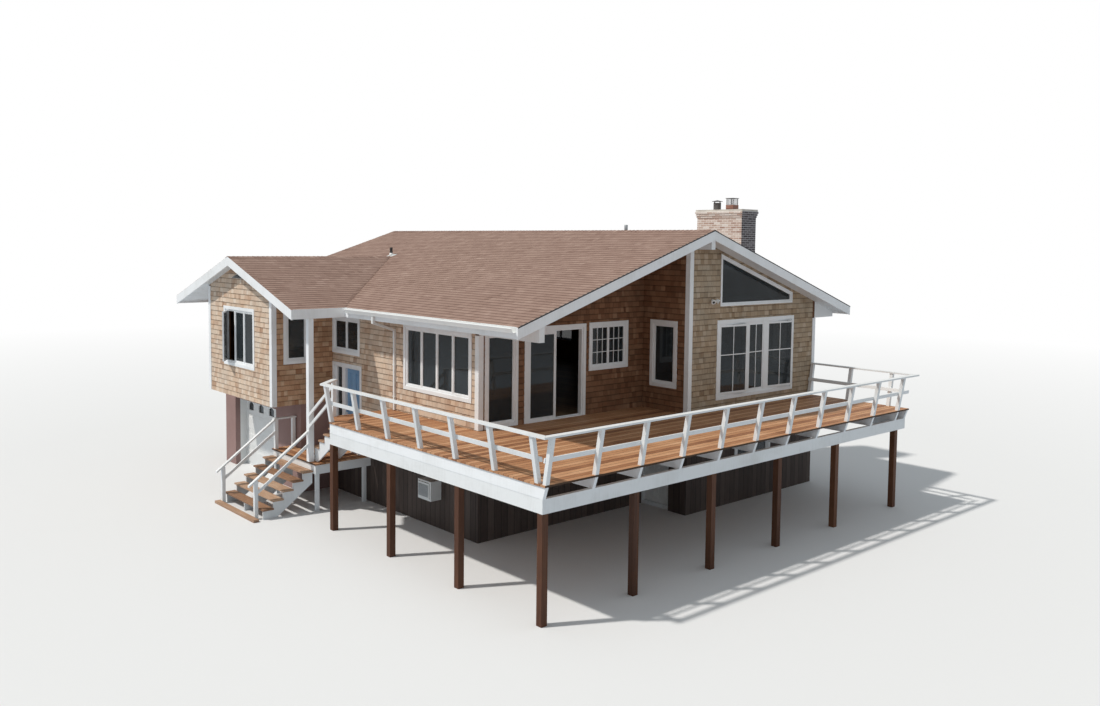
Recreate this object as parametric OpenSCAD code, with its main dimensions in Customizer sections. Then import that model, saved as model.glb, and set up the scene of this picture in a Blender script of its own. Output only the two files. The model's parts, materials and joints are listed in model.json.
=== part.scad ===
// Two-storey shingled beach house with a raised wrap-round deck.
// X runs along the gable front to the right, Y runs back along the ridge, Z is up from the ground.

/* [House] */
// Distance from the ridge to the outer face of the left wall
left_wall_x = 5700; // [5600:10:5900]
// Distance from the ridge to the outer face of the right wall
right_wall_x = 5330; // [5200:10:5500]
// Distance from the origin to the front wall face
front_wall_y = 6740; // [6600:10:6900]
// Depth of the covered porch cut into the left half of the front
porch_d = 1554; // [1400:1:1700]
// Distance from the ridge to the side wall of the front room
room_side_x = 263; // [220:1:320]
// Thickness of an outside wall
wall_t = 150; // [130:5:180]
// Height of the deck and main floor above the ground
deck_z = 2600; // [2550:5:2650]
// Depth of the main floor structure
floor_d = 280; // [220:5:300]
// Thickness of the ground slab
slab_t = 80; // [60:5:100]

/* [Roof] */
// Slope of every roof plane in degrees
pitch = 18.4; // [17.5:0.1:19.5]
// Height of the main ridge above the ground
ridge_z = 7240; // [7200:5:7400]
// Plan distance from the ridge to each main eave edge
eave_x = 6280; // [6200:5:6400]
// Plan overhang of the roof past the gable walls
gable_over = 510; // [400:5:600]
// Thickness of the roof deck measured square to the slope
roof_t = 170; // [140:5:200]
// Depth of the eave fascia and rake boards
fascia_d = 235; // [210:5:260]
// Thickness of fascia, rake and trim boards
board_t = 38; // [30:1:45]
// Depth of the beam under the ridge
ridge_beam_d = 300; // [260:10:340]
// Depth of the beam over the open side of the porch
porch_beam_d = 380; // [320:10:400]
// Width of the ridge beam and the porch beam
roof_beam_w = 150; // [120:10:160]
// Height of the flat soffit under the right eave
soffit_z = 4810; // [4780:5:4850]

/* [Wing] */
// Distance from the main ridge to the gable face of the wing
wing_x = 7500; // [7300:10:7700]
// Place of the wing ridge along Y
wing_y = 3520; // [3450:10:3600]
// Half width of the wing between its outer wall faces
wing_half = 2060; // [1950:5:2150]
// Plan distance from the wing ridge to each wing eave
wing_eave = 3768; // [3650:2:3800]
// Plan overhang of the wing roof past its gable wall
wing_over = 280; // [200:5:360]
// Height of the underside of the wing floor
wing_under = 2427; // [2380:1:2460]
// Set-back of the garage wall under the wing
garage_back = 820; // [700:10:900]
// Place of the far garage wall along Y
garage_far = 6400; // [6200:10:6500]

/* [Deck] */
// Width of the deck along the front
deck_w = 12904; // [12600:4:13100]
// Depth of the deck along the left side
deck_l = 7735; // [7600:5:7900]
// Depth of the front deck to the front wall
deck_d = 3094; // [2900:2:3300]
// Thickness of the deck boards
plank_t = 38; // [30:1:45]
// Width of a deck board
plank_w = 140; // [120:5:150]
// Gap between deck boards
plank_gap = 7; // [5:1:10]
// Depth of a deck joist below the boards
joist_d = 231; // [215:1:240]
// Thickness of a deck joist
joist_t = 76; // [60:2:90]
// Depth of the deck beams
beam_d = 273; // [240:1:290]
// Thickness of the deck beams
beam_t = 90; // [76:2:100]
// Set-back of the front beam behind the deck edge
beam_back = 93; // [70:1:120]
// Side of a square deck post
deck_post = 140; // [120:2:150]
// Distance from the last front post's left face to the right end of the deck
end_post_in = 534; // [480:2:600]
// Spacing of the last two posts along the front
end_post_gap = 2827; // [2700:1:2950]
// Number of deck posts along the left side
left_posts = 4; // [3:1:5]

/* [Railing] */
// Height of the cap rail above the deck
rail_h = 910; // [860:5:1000]
// Outward lean of a rail post over its height
rail_lean = 150; // [100:5:180]
// Side of a square rail post
rail_post = 89; // [80:1:95]
// Distance from the last front rail post to the end joist at its right
end_bay = 472; // [400:1:560]
// Number of rail posts along the front
front_rail_posts = 11; // [10:1:11]
// Number of rail posts along the left side
left_rail_posts = 7; // [6:1:8]
// Width of the cap rail
cap_w = 140; // [130:2:150]
// Thickness of the cap rail and the middle rail
rail_t = 38; // [30:1:45]
// Depth of the middle rail
mid_rail_d = 89; // [70:1:95]
// Height of the underside of the middle rail above the deck
mid_rail_z = 400; // [350:5:450]

/* [Stairs] */
// Height of one riser
riser = 195; // [185:1:198]
// Run of one tread
run = 266; // [255:1:280]
// Width of the lower flight along Y
flight_w = 2300; // [2000:10:2350]
// Width of the upper flight along X
upper_w = 1300; // [1100:10:1400]
// Depth of the deck strip at the head of the upper flight
stair_head = 600; // [560:5:640]
// Height of the handrails above the tread edges
handrail_h = 800; // [780:5:950]
// Overhang of a tread past its stringer cut
nosing = 25; // [15:1:30]
// Place of the landing front edge along Y
landing_front = 560; // [520:5:620]
// Depth of the white boards round the landing
landing_rim = 235; // [220:5:260]
// Width of one of the two boards in a tread
tread_board = 138; // [120:2:140]
// Thickness of a stair stringer
stringer_t = 38; // [30:1:45]
// Side of the white post that carries the wing eave
eave_post = 140; // [120:2:150]

/* [Doors] */
// Width of the entry door leaf
entry_w = 790; // [760:5:820]
// Height of the entry door leaf
entry_h = 2130; // [2030:5:2160]
// Width of the post between the entry door and its side light
entry_post_w = 185; // [150:5:200]
// Width of the fixed light beside the entry door
sidelight_w = 250; // [220:5:300]
// Width of one patio door leaf
patio_w = 880; // [820:5:900]
// Height of the patio door leaves
patio_h = 2120; // [2060:5:2140]
// Width of the lower door leaf
lower_w = 864; // [810:2:880]
// Height of the lower door leaf
lower_h = 2032; // [1980:2:2060]
// Thickness of the hinged door leaves
leaf_t = 44; // [38:1:50]
// Running clearance round every moving leaf
leaf_gap = 7; // [5:1:8]
// Width of the garage door
garage_w = 2743; // [2600:1:2800]
// Height of the garage door
garage_h = 2080; // [1980:5:2130]
// Depth of the wall over the garage door
garage_lintel = 227; // [200:1:260]

/* [Windows] */
// Width of the boards round each window and door
casing_w = 90; // [70:5:100]
// Thickness of the boards round each window and door
casing_t = 22; // [18:1:28]
// Face width of a window frame
frame_w = 45; // [35:1:55]
// Depth of a window frame
frame_d = 80; // [60:5:100]
// Thickness of a sealed glass unit
glass_t = 20; // [14:1:24]
// Width of a casement stile and rail
sash_w = 50; // [40:1:60]
// Opening angle of the front casements
casement_open = 5; // [3:1:45]
// Opening angle of the left casement in the wing window
wing_open = 35; // [10:1:45]

/* [Chimney] */
// Width of the chimney along X
chimney_w = 720; // [660:10:760]
// Length of the chimney along Y
chimney_l = 1755; // [1600:5:1800]
// Height of the chimney above the ground
chimney_z = 8000; // [7900:10:8200]
// Place of the chimney front face along Y
chimney_y = -4070; // [-4300:10:-3600]

/* [Hidden] */
// Overshoot of a cutting solid past the face that it cuts
e = 1;
// Open joint between boards of one node that meet end to end
joint = 2;
// Room between the top of a wall or beam and the roof slab above it
seat_gap = 0.3;

front_y = -front_wall_y;
back_y = wing_y + wing_eave - gable_over;
porch_y = front_y + porch_d;
slope = tan(pitch);
roof_drop = roof_t / cos(pitch);
board_drop = fascia_d / cos(pitch);
roof_y0 = front_y - gable_over;
roof_y1 = back_y + gable_over;
eave_z = ridge_z - eave_x * slope;
wing_ridge_z = eave_z + wing_eave * slope;
wing_x0 = -wing_x - wing_over;
wing_y0 = wing_y - wing_eave;
near_y = wing_y - wing_half;
far_y = wing_y + wing_half;
garage_x = -wing_x + garage_back;
lower_top = deck_z - floor_d;

deck_x0 = -left_wall_x - 2080;
deck_x1 = deck_x0 + deck_w;
deck_y0 = front_y - deck_d;
deck_y1 = deck_y0 + deck_l;
joist_top = deck_z - plank_t;
beam_top = joist_top - joist_d;
beam_z = beam_top - beam_d;
rim_in = 23;
joist_in = rim_in + joist_t / 2;
front_gap = (deck_w - 2 * joist_in - end_bay) / (front_rail_posts - 1);
post_gap_x = (deck_w - end_post_in - rim_in - end_post_gap) / 4;
board_gap = 5;

landing_z = deck_z - 7 * riser;
foot_z = landing_z - 6 * riser;
landing_x0 = deck_x0 + 450;
landing_y0 = -landing_front;
flight_y0 = -420;
flight_y1 = flight_y0 + flight_w;
upper_x0 = landing_x0 + eave_post + 10;
head_x = landing_x0 - 60;
head_y = deck_y1 + stair_head;

entry_y1 = near_y;
entry_y0 = entry_y1 - (casing_w + 3 * frame_w + entry_w + 2 * leaf_gap + entry_post_w + sidelight_w);
entry_sill = landing_z + 30;
entry_head = entry_sill + entry_h + 2 * leaf_gap + frame_w;
patio_x1 = -2450;
patio_lap = 50;
patio_x0 = patio_x1 - (2 * patio_w - patio_lap + 2 * frame_w + 2 * leaf_gap);
patio_sill = deck_z + 30;
patio_head = patio_sill + patio_h + 2 * leaf_gap + frame_w;
patio_t = 38;
track_gap = 8;
track_w = 8;
track_h = 10;
track_play = 1;
lower_y1 = porch_y;
lower_y0 = lower_y1 - (2 * frame_w + lower_w + 2 * leaf_gap);
lower_sill = slab_t + 20;
lower_head = lower_sill + lower_h + 2 * leaf_gap + frame_w;
door_frame_d = 110;

// Top of the main roof at a distance x from the ridge
function roof_top(x) = ridge_z - abs(x) * slope;
// Underside of the main roof at a distance x from the ridge
function roof_under(x) = roof_top(x) - roof_drop;
// Top of a wall or beam that carries the main roof
function roof_seat(x) = roof_under(x) - seat_gap;
// Top of the wing roof at a place y
function wing_top(y) = wing_ridge_z - abs(y - wing_y) * slope;
// Underside of the wing roof at a place y
function wing_below(y) = wing_top(y) - roof_drop;
// Top of a wall or post that carries the wing roof
function wing_seat(y) = wing_below(y) - seat_gap;

// A box from one corner to the opposite corner
module span(a, b) {
    translate([min(a.x, b.x), min(a.y, b.y), min(a.z, b.z)])
        cube([abs(b.x - a.x), abs(b.y - a.y), abs(b.z - a.z)]);
}

// A profile drawn in X and Z, extruded along Y
module along_y(y0, y1) {
    translate([0, y1, 0]) rotate([90, 0, 0]) linear_extrude(y1 - y0) children();
}

// A profile drawn in Y and Z, extruded along X
module along_x(x0, x1) {
    translate([x0, 0, 0]) rotate([90, 0, 90]) linear_extrude(x1 - x0) children();
}

// Wall piece from a height up to the underside of the main roof
module under_main_roof(x0, x1, y0, y1, z0) {
    mid = x0 < 0 && x1 > 0 ? [[0, roof_seat(0)]] : [];
    along_y(y0, y1) polygon(concat([[x0, z0], [x1, z0], [x1, roof_seat(x1)]], mid, [[x0, roof_seat(x0)]]));
}

// Wall piece from a height up to the underside of the wing roof
module under_wing_roof(x0, x1, y0, y1, z0) {
    mid = y0 < wing_y && y1 > wing_y ? [[wing_y, wing_seat(wing_y)]] : [];
    along_x(x0, x1) polygon(concat([[y0, z0], [y1, z0], [y1, wing_seat(y1)]], mid, [[y0, wing_seat(y0)]]));
}

// Wall faces as frames of reference: u runs to the right, outward is -Y and the face is at y = 0
module on_front(y) { translate([0, y, 0]) children(); }
module on_left(x) { translate([x, 0, 0]) rotate([0, 0, -90]) children(); }
module on_right(x) { translate([x, 0, 0]) rotate([0, 0, 90]) children(); }
module on_back(y) { translate([0, y, 0]) rotate([0, 0, 180]) children(); }

// Holes for windows: left edge, right edge, sill, head, panes. All heads line up but where a door light sits
sill_z = deck_z + 690;
head_z = deck_z + 2155;
high_head_z = deck_z + 2240;
left_windows = [[2208, 4844, sill_z, head_z, 4]];
entry_windows = [[-(near_y - casing_w), -(entry_y0 + casing_w), deck_z + 1290, head_z, 2]];
porch_light = [-5450, -4640, deck_z + 100, high_head_z - 80, 1];
kitchen_window = [-2162, -940, deck_z + 1190, high_head_z - 20, 2];
side_windows = [[-(porch_y - 357), -(porch_y - 1099), sill_z, high_head_z, 1]];
casement_window = [940, 4180, deck_z + 330, high_head_z, 1];
wing_windows = [[-(wing_y + 913), -(wing_y - 913), deck_z + 785, high_head_z + 55, 3]];
wing_side_windows = [[-7090, -6490, deck_z + 1040, high_head_z, 1]];
right_windows = [for (u = [-6000, 3400]) [u, u + 1400, sill_z, soffit_z - 120, 2]];
back_windows = [for (u = [-4200, -500, 3000]) [u, u + 1400, sill_z, head_z, 2]];
lower_head_z = 1950;
lower_right_windows = [for (u = [-5400, 3000]) [u, u + 1000, lower_head_z - 800, lower_head_z, 2]];
lower_back_windows = [for (u = [-4000, 3000]) [u, u + 1000, lower_head_z - 800, lower_head_z, 2]];
lower_front_windows = [[1800, 3200, lower_head_z - 900, lower_head_z, 2]];
light_x0 = 1000;
light_x1 = light_x0 + 3130;
light_z0 = deck_z + 2735;
light_z1 = light_z0 + 1252;
light_casing = 45;

// The holes that a list of windows cuts through a wall
module holes(list) {
    for (w = list) translate([w[0], -e, w[2]]) cube([w[1] - w[0], wall_t + 2 * e, w[3] - w[2]]);
}

// Clear width of one pane
function pane_w(w) = (w[1] - w[0] - frame_w * (w[4] + 1)) / w[4];

// Outer frame with upright mullions, set in its hole
module frame(w) {
    difference() {
        translate([w[0], 0, w[2]]) cube([w[1] - w[0], frame_d, w[3] - w[2]]);
        for (i = [0 : w[4] - 1])
            translate([w[0] + frame_w + i * (pane_w(w) + frame_w), -e, w[2] + frame_w])
                cube([pane_w(w), frame_d + 2 * e, w[3] - w[2] - 2 * frame_w]);
    }
}

// The sealed glass units of one window, from a field on
module panes(w, first = 0) {
    for (i = [first : w[4] - 1])
        translate([w[0] + frame_w + i * (pane_w(w) + frame_w), (frame_d - glass_t) / 2, w[2] + frame_w])
            cube([pane_w(w), glass_t, w[3] - w[2] - 2 * frame_w]);
}

// The boards round a window on the outside of the wall
module casing(w) {
    difference() {
        translate([w[0] - casing_w, -casing_t, w[2] - casing_w])
            cube([w[1] - w[0] + 2 * casing_w, casing_t, w[3] - w[2] + 2 * casing_w]);
        translate([w[0], -casing_t - e, w[2]]) cube([w[1] - w[0], casing_t + 2 * e, w[3] - w[2]]);
    }
}

// Outline of the sloping gable light, larger by a width when it is positive and smaller when it is negative
module light_outline(grow) {
    drop = grow / cos(pitch);
    left = light_x0 - grow;
    right = light_x1 + grow;
    base = light_z0 - grow;
    top = light_z1 + grow * slope + drop;
    polygon([[left, base], [right, base], [right, top - (right - left) * slope], [left, top]]);
}

module ground_slab() {
    color("gray") difference() {
        union() {
            span([-left_wall_x, front_y, 0], [right_wall_x, back_y, slab_t]);
            span([garage_x + garage_reveal + 50, near_y + wall_t, 0], [-left_wall_x + e, garage_far - wall_t, slab_t]);
        }
        span([-left_wall_x - e, front_y - e, -e], [-room_side_x, porch_y, slab_t + e]);
        walls_low();
    }
}

// Every wall that stands on the ground, used to trim the slab to the rooms inside them
module walls_low() {
    span([-left_wall_x, porch_y, -e], [-left_wall_x + wall_t, near_y + wall_t, slab_t + e]);
    span([-left_wall_x, garage_far - wall_t, -e], [-left_wall_x + wall_t, back_y, slab_t + e]);
    span([-left_wall_x, porch_y, -e], [-room_side_x + wall_t, porch_y + wall_t, slab_t + e]);
    span([-room_side_x, front_y, -e], [-room_side_x + wall_t, lower_y1, slab_t + e]);
    span([-room_side_x, front_y, -e], [right_wall_x, front_y + wall_t, slab_t + e]);
    span([right_wall_x - wall_t, front_y, -e], [right_wall_x, back_y, slab_t + e]);
    span([-left_wall_x, back_y - wall_t, -e], [right_wall_x, back_y, slab_t + e]);
}

module main_floor() {
    color("tan") difference() {
        span([-left_wall_x + wall_t, front_y + wall_t, lower_top], [right_wall_x - wall_t, back_y - wall_t, deck_z]);
        span([-left_wall_x, front_y, 0], [-room_side_x + wall_t, porch_y + wall_t, deck_z + e]);
        span([-left_wall_x, entry_y0 - 250, 0], [-left_wall_x + 1800, near_y + wall_t, deck_z + e]);
    }
}

module wing_floor() {
    color("tan") {
        span([-wing_x + wall_t, near_y + wall_t, wing_under], [-left_wall_x + wall_t, far_y - wall_t, deck_z]);
        span([garage_x - 60, far_y, garage_top], [-left_wall_x, garage_far + 60, garage_top + 100]);
    }
}

module foyer_floor() {
    color("tan") span([-left_wall_x + wall_t, entry_y0 - 250, landing_z - 160],
        [-left_wall_x + 1800, near_y + wall_t, landing_z]);
}

module lower_left_wall() {
    color("dimgray") {
        difference() {
            span([-left_wall_x, porch_y, 0], [-left_wall_x + wall_t, entry_y0, lower_top]);
            ac_body();
        }
        span([-left_wall_x, garage_far, 0], [-left_wall_x + wall_t, back_y, lower_top]);
    }
}

module entry_base_wall() {
    color("dimgray") span([-left_wall_x, entry_y0, 0], [-left_wall_x + wall_t, near_y, landing_z]);
}

module lower_porch_wall() {
    color("dimgray") span([-left_wall_x + wall_t, porch_y, 0], [-room_side_x + wall_t, porch_y + wall_t, lower_top]);
}

module lower_side_wall() {
    color("dimgray") span([-room_side_x, front_y, 0], [-room_side_x + wall_t, lower_y0, lower_top]);
}

module lower_door_header() {
    color("dimgray") span([-room_side_x, lower_y0, lower_head], [-room_side_x + wall_t, lower_y1, lower_top]);
}

module lower_front_wall() {
    color("dimgray") difference() {
        span([-room_side_x + wall_t, front_y, 0], [right_wall_x, front_y + wall_t, lower_top]);
        on_front(front_y) holes(lower_front_windows);
    }
}

module lower_right_wall() {
    color("dimgray") difference() {
        span([right_wall_x - wall_t, front_y + wall_t, 0], [right_wall_x, back_y - wall_t, lower_top]);
        on_right(right_wall_x) holes(lower_right_windows);
    }
}

module lower_back_wall() {
    color("dimgray") difference() {
        span([-left_wall_x + wall_t, back_y - wall_t, 0], [right_wall_x, back_y, lower_top]);
        on_back(back_y) holes(lower_back_windows);
    }
}

garage_y1 = garage_far - 700;
garage_y0 = garage_y1 - garage_w;
garage_reveal = 350;
garage_top = garage_h + garage_lintel;
module garage_front_wall() {
    color("rosybrown") difference() {
        union() {
            span([garage_x, near_y, 0], [garage_x + wall_t, far_y, wing_under]);
            span([garage_x, far_y - e, 0], [garage_x + wall_t, garage_far, garage_top]);
        }
        span([garage_x - e, garage_y0, -e], [garage_x + wall_t + e, garage_y1, garage_h]);
    }
}

module garage_side_walls() {
    color("rosybrown") {
        span([garage_x + wall_t, near_y, 0], [-left_wall_x + wall_t, near_y + wall_t, wing_under]);
        span([garage_x + wall_t, garage_far - wall_t, 0], [-left_wall_x + wall_t, garage_far, garage_top]);
    }
}

module left_wall() {
    color("peru") {
        difference() {
            under_main_roof(-left_wall_x, -left_wall_x + wall_t, porch_y, entry_y0, lower_top);
            on_left(-left_wall_x) holes(left_windows);
        }
        under_main_roof(-left_wall_x, -left_wall_x + wall_t, far_y, back_y, lower_top);
        under_wing_roof(-left_wall_x, -left_wall_x + wall_t, far_y, back_y, lower_top);
    }
}

module entry_wall() {
    color("peru") difference() {
        union() {
            under_main_roof(-left_wall_x, -left_wall_x + wall_t, entry_y0, near_y, entry_head);
            intersection() {
                under_wing_roof(-left_wall_x, -left_wall_x + wall_t, entry_y0, near_y, entry_head);
                span([-left_wall_x, entry_y0, 0], [-left_wall_x + wall_t, near_y, ridge_z]);
            }
        }
        on_left(-left_wall_x) holes(entry_windows);
    }
}

module porch_wall() {
    color("saddlebrown") difference() {
        union() {
            under_main_roof(-left_wall_x + wall_t, patio_x0, porch_y, porch_y + wall_t, lower_top);
            under_main_roof(patio_x1, -room_side_x, porch_y, porch_y + wall_t, lower_top);
        }
        on_front(porch_y) holes([porch_light, kitchen_window]);
    }
}

module porch_header() {
    color("saddlebrown") {
        under_main_roof(patio_x0, patio_x1, porch_y, porch_y + wall_t, patio_head);
        span([patio_x0, porch_y, lower_top], [patio_x1, porch_y + wall_t, deck_z]);
    }
}

module room_side_wall() {
    color("saddlebrown") difference() {
        under_main_roof(-room_side_x, -room_side_x + wall_t, front_y, porch_y + wall_t, lower_top);
        on_left(-room_side_x) holes(side_windows);
    }
}

module front_wall() {
    color("peru") difference() {
        under_main_roof(-room_side_x + wall_t, right_wall_x, front_y, front_y + wall_t, lower_top);
        on_front(front_y) holes([casement_window]);
        along_y(front_y - e, front_y + wall_t + e) light_outline(0);
        ridge_beam_solid();
    }
}

module right_wall() {
    color("peru") difference() {
        under_main_roof(right_wall_x - wall_t, right_wall_x, front_y + wall_t, back_y - wall_t, lower_top);
        on_right(right_wall_x) holes(right_windows);
    }
}

module back_wall() {
    color("peru") difference() {
        under_main_roof(-left_wall_x + wall_t, right_wall_x, back_y - wall_t, back_y, lower_top);
        on_back(back_y) holes(back_windows);
        ridge_beam_solid();
    }
}

module wing_side_walls() {
    color("peru") {
        difference() {
            under_wing_roof(-wing_x + wall_t, -left_wall_x + wall_t, near_y, near_y + wall_t, wing_under);
            on_front(near_y) holes(wing_side_windows);
        }
        under_wing_roof(-wing_x + wall_t, -left_wall_x + wall_t, far_y - wall_t, far_y, wing_under);
    }
}

module wing_gable_wall() {
    color("peru") difference() {
        under_wing_roof(-wing_x, -wing_x + wall_t, near_y, far_y, wing_under);
        on_left(-wing_x) holes(wing_windows);
    }
}

// Plan of the roof area that belongs to the wing, out to its valleys
module wing_plan() {
    valley_x = -(eave_x - wing_eave);
    polygon([[wing_x0, wing_y0], [-eave_x, wing_y0], [valley_x, wing_y], [-eave_x, roof_y1], [wing_x0, roof_y1]]);
}

module main_roof_left() {
    color("sienna") difference() {
        along_y(roof_y0, roof_y1) polygon([[-eave_x, eave_z], [0, ridge_z], [0, roof_under(0)], [-eave_x, roof_under(eave_x)]]);
        linear_extrude(ridge_z + e) wing_plan();
        translate([-eave_x, wing_y0, 0]) cube([e, roof_y1 - wing_y0, ridge_z]);
    }
}

module main_roof_right() {
    color("sienna") difference() {
        along_y(roof_y0, roof_y1) polygon([[0, ridge_z], [eave_x, eave_z], [eave_x, roof_under(eave_x)], [0, roof_under(0)]]);
        chimney_hole();
    }
}

module wing_roof() {
    color("sienna") intersection() {
        along_x(wing_x0, 0) polygon([
            [wing_y0, wing_top(wing_y0)], [wing_y, wing_ridge_z], [roof_y1, wing_top(roof_y1)],
            [roof_y1, wing_below(roof_y1)], [wing_y, wing_below(wing_y)], [wing_y0, wing_below(wing_y0)]
        ]);
        linear_extrude(ridge_z) wing_plan();
    }
}

// Profile of a sloping rake board from the ridge at u = 0 down to u = length, with plumb ends
module rake(length, top) {
    polygon([[joint / 2, top], [length, top - length * slope],
        [length, top - length * slope - board_drop], [joint / 2, top - board_drop]]);
}

module roof_boards() {
    color("white") {
        for (y = [roof_y0 - board_t, roof_y1]) {
            along_y(y, y + board_t) rake(eave_x + board_t, ridge_z);
            along_y(y, y + board_t) mirror([1, 0]) rake(y > 0 ? eave_x - joint : eave_x + board_t, ridge_z);
        }
        along_x(wing_x0 - board_t, wing_x0) translate([wing_y, 0]) rake(wing_eave + board_t, wing_ridge_z);
        along_x(wing_x0 - board_t, wing_x0) translate([wing_y, 0]) mirror([1, 0]) rake(wing_eave + board_t, wing_ridge_z);
        j = joint;
        span([eave_x, roof_y0 + j, eave_z - board_drop], [eave_x + board_t, roof_y1 - j, eave_z]);
        span([-eave_x - board_t, roof_y0 + j, eave_z - board_drop], [-eave_x, wing_y0 - board_t - j, eave_z]);
        span([wing_x0 + j, wing_y0 - board_t, eave_z - board_drop], [-eave_x, wing_y0, eave_z]);
        span([wing_x0 + j, roof_y1, eave_z - board_drop], [-eave_x, roof_y1 + board_t, eave_z]);
    }
}

module eave_soffit() {
    color("white") difference() {
        union() {
            span([right_wall_x, front_y, soffit_z], [eave_x, back_y, soffit_z + 20]);
            for (y = [front_y, back_y - 20])
                along_y(y, y + 20) polygon([[right_wall_x, soffit_z], [eave_x, soffit_z],
                    [eave_x, roof_seat(eave_x)], [right_wall_x, roof_seat(right_wall_x)]]);
        }
        chimney_hole();
    }
}

// Outline of a gutter, drawn with its back at x = 0 and its top at z = 0
module gutter_outline() {
    difference() {
        polygon([[0, 0], [-115, 0], [-125, -20], [-95, -85], [-85, -110], [0, -110]]);
        polygon([[-4, 1], [-111, 1], [-120, -20], [-91, -84], [-82, -106], [-4, -106]]);
    }
}

module gutters() {
    color("white") {
        translate([-eave_x - board_t, 0, eave_z - 12]) along_y(roof_y0 + 20, wing_y0 - board_t - 130) gutter_outline();
        translate([eave_x + board_t, 0, eave_z - 12]) along_y(roof_y0 + 20, roof_y1 - 20) mirror([1, 0]) gutter_outline();
        downspout();
    }
}

// The pipe from the left gutter back to the wall and down to the deck
spout_y = deck_y1 + 334;
module downspout() {
    s = 60;
    xg = -eave_x - board_t - 70;
    xw = -left_wall_x - s;
    ztop = eave_z - 12 - 100;
    za = ztop - 160;
    zb = ztop - 380;
    lean = (za - zb) / (xw - xg);
    v = s * sqrt(1 + lean * lean);
    translate([0, spout_y, 0]) {
        span([xg, 0, za], [xg + s, s, ztop]);
        along_y(0, s) polygon([[xg, za], [xg + s, za], [xw + s, zb], [xw + s, zb - s],
            [xw, zb + lean * s - v], [xg, za + lean * s - v]]);
        span([xw, 0, deck_z + 15], [xw + s, s, zb - s / 2]);
    }
}

module ridge_beam_solid() {
    along_y(roof_y0, roof_y1) polygon([[-roof_beam_w / 2, ridge_z], [roof_beam_w / 2, ridge_z],
        [roof_beam_w / 2, roof_under(0) - ridge_beam_d], [-roof_beam_w / 2, roof_under(0) - ridge_beam_d]]);
}

module roof_beams() {
    half = roof_beam_w / 2;
    color("white") {
        along_y(roof_y0, roof_y1) polygon([[0, roof_seat(0)], [half, roof_seat(half)],
            [half, roof_under(0) - ridge_beam_d], [-half, roof_under(0) - ridge_beam_d], [-half, roof_seat(half)]]);
        x = -left_wall_x;
        along_y(roof_y0, porch_y) polygon([[x, roof_seat(x)], [x + roof_beam_w, roof_seat(x + roof_beam_w)],
            [x + roof_beam_w, roof_under(x) - porch_beam_d], [x, roof_under(x) - porch_beam_d]]);
    }
}

chimney_x1 = right_wall_x + chimney_w;
module chimney() {
    color("rosybrown") {
        span([right_wall_x, chimney_y, 0], [chimney_x1, chimney_y + chimney_l, chimney_z - 260]);
        for (i = [1 : 3])
            span([right_wall_x - 18 * i, chimney_y - 18 * i, chimney_z - 260 + 65 * (i - 1)],
                [chimney_x1 + 18 * i, chimney_y + chimney_l + 18 * i, chimney_z - 260 + 65 * i]);
    }
}

module chimney_hole() {
    span([right_wall_x - e, chimney_y - joint, 0], [chimney_x1 + joint, chimney_y + chimney_l + joint, chimney_z]);
}

// Top of the mortar crown that carries the flues
crown_z = chimney_z - 5;
pot_y = chimney_y + 655;
flue_y = chimney_y + 1248;
module chimney_cap() {
    x = right_wall_x + chimney_w / 2;
    color("gray") difference() {
        union() {
            span([right_wall_x - 40, chimney_y - 40, crown_z - 60], [chimney_x1 + 40, chimney_y + chimney_l + 40, crown_z]);
            span([x - 140, pot_y - 140, crown_z - 60], [x + 140, pot_y + 140, crown_z + 150]);
            translate([x, flue_y, crown_z - 60]) cylinder(h = 290, d = 240, $fn = 48);
        }
        span([x - 105, pot_y - 105, crown_z], [x + 105, pot_y + 105, crown_z + 151]);
        translate([x, flue_y, crown_z]) cylinder(h = 231, d = 220, $fn = 48);
    }
    color("gray") {
        for (u = [-1, 1], v = [-1, 1]) span([x + u * 122 - 6, pot_y + v * 122 - 6, crown_z + 149], [x + u * 122 + 6, pot_y + v * 122 + 6, crown_z + 350]);
        span([x - 150, pot_y - 150, crown_z + 350], [x + 150, pot_y + 150, crown_z + 366]);
        for (a = [0, 90, 180, 270]) translate([x, flue_y, crown_z + 150]) rotate([0, 0, a]) translate([118, -10, 0]) cube([6, 20, 120]);
        translate([x, flue_y, crown_z + 270]) rotate_extrude($fn = 48) polygon([[0, 0], [175, 0], [175, 8], [0, 48]]);
    }
}

vents = [[-2450, 3610, 260], [720, -3560, 300]];
module roof_vents() {
    color("dimgray") difference() {
        for (v = vents) translate([v[0], v[1], roof_top(v[0]) - 30]) cylinder(h = v[2] + 30, d = 90, $fn = 32);
        along_y(roof_y0, roof_y1) polygon([[-eave_x, eave_z], [0, ridge_z], [eave_x, eave_z]]);
    }
}

// The rest of the window modules
casement_w = 1065;
mullion_w = 175;
function casement_fields() = [
    [casement_window[0] + frame_w, casement_w],
    [casement_window[0] + frame_w + casement_w + mullion_w,
        casement_window[1] - casement_window[0] - 2 * (frame_w + casement_w + mullion_w)],
    [casement_window[1] - frame_w - casement_w, casement_w]
];

module casement_frame() {
    w = casement_window;
    difference() {
        translate([w[0], 0, w[2]]) cube([w[1] - w[0], frame_d, w[3] - w[2]]);
        for (f = casement_fields())
            translate([f[0], -e, w[2] + frame_w]) cube([f[1], frame_d + 2 * e, w[3] - w[2] - 2 * frame_w]);
    }
}

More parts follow.
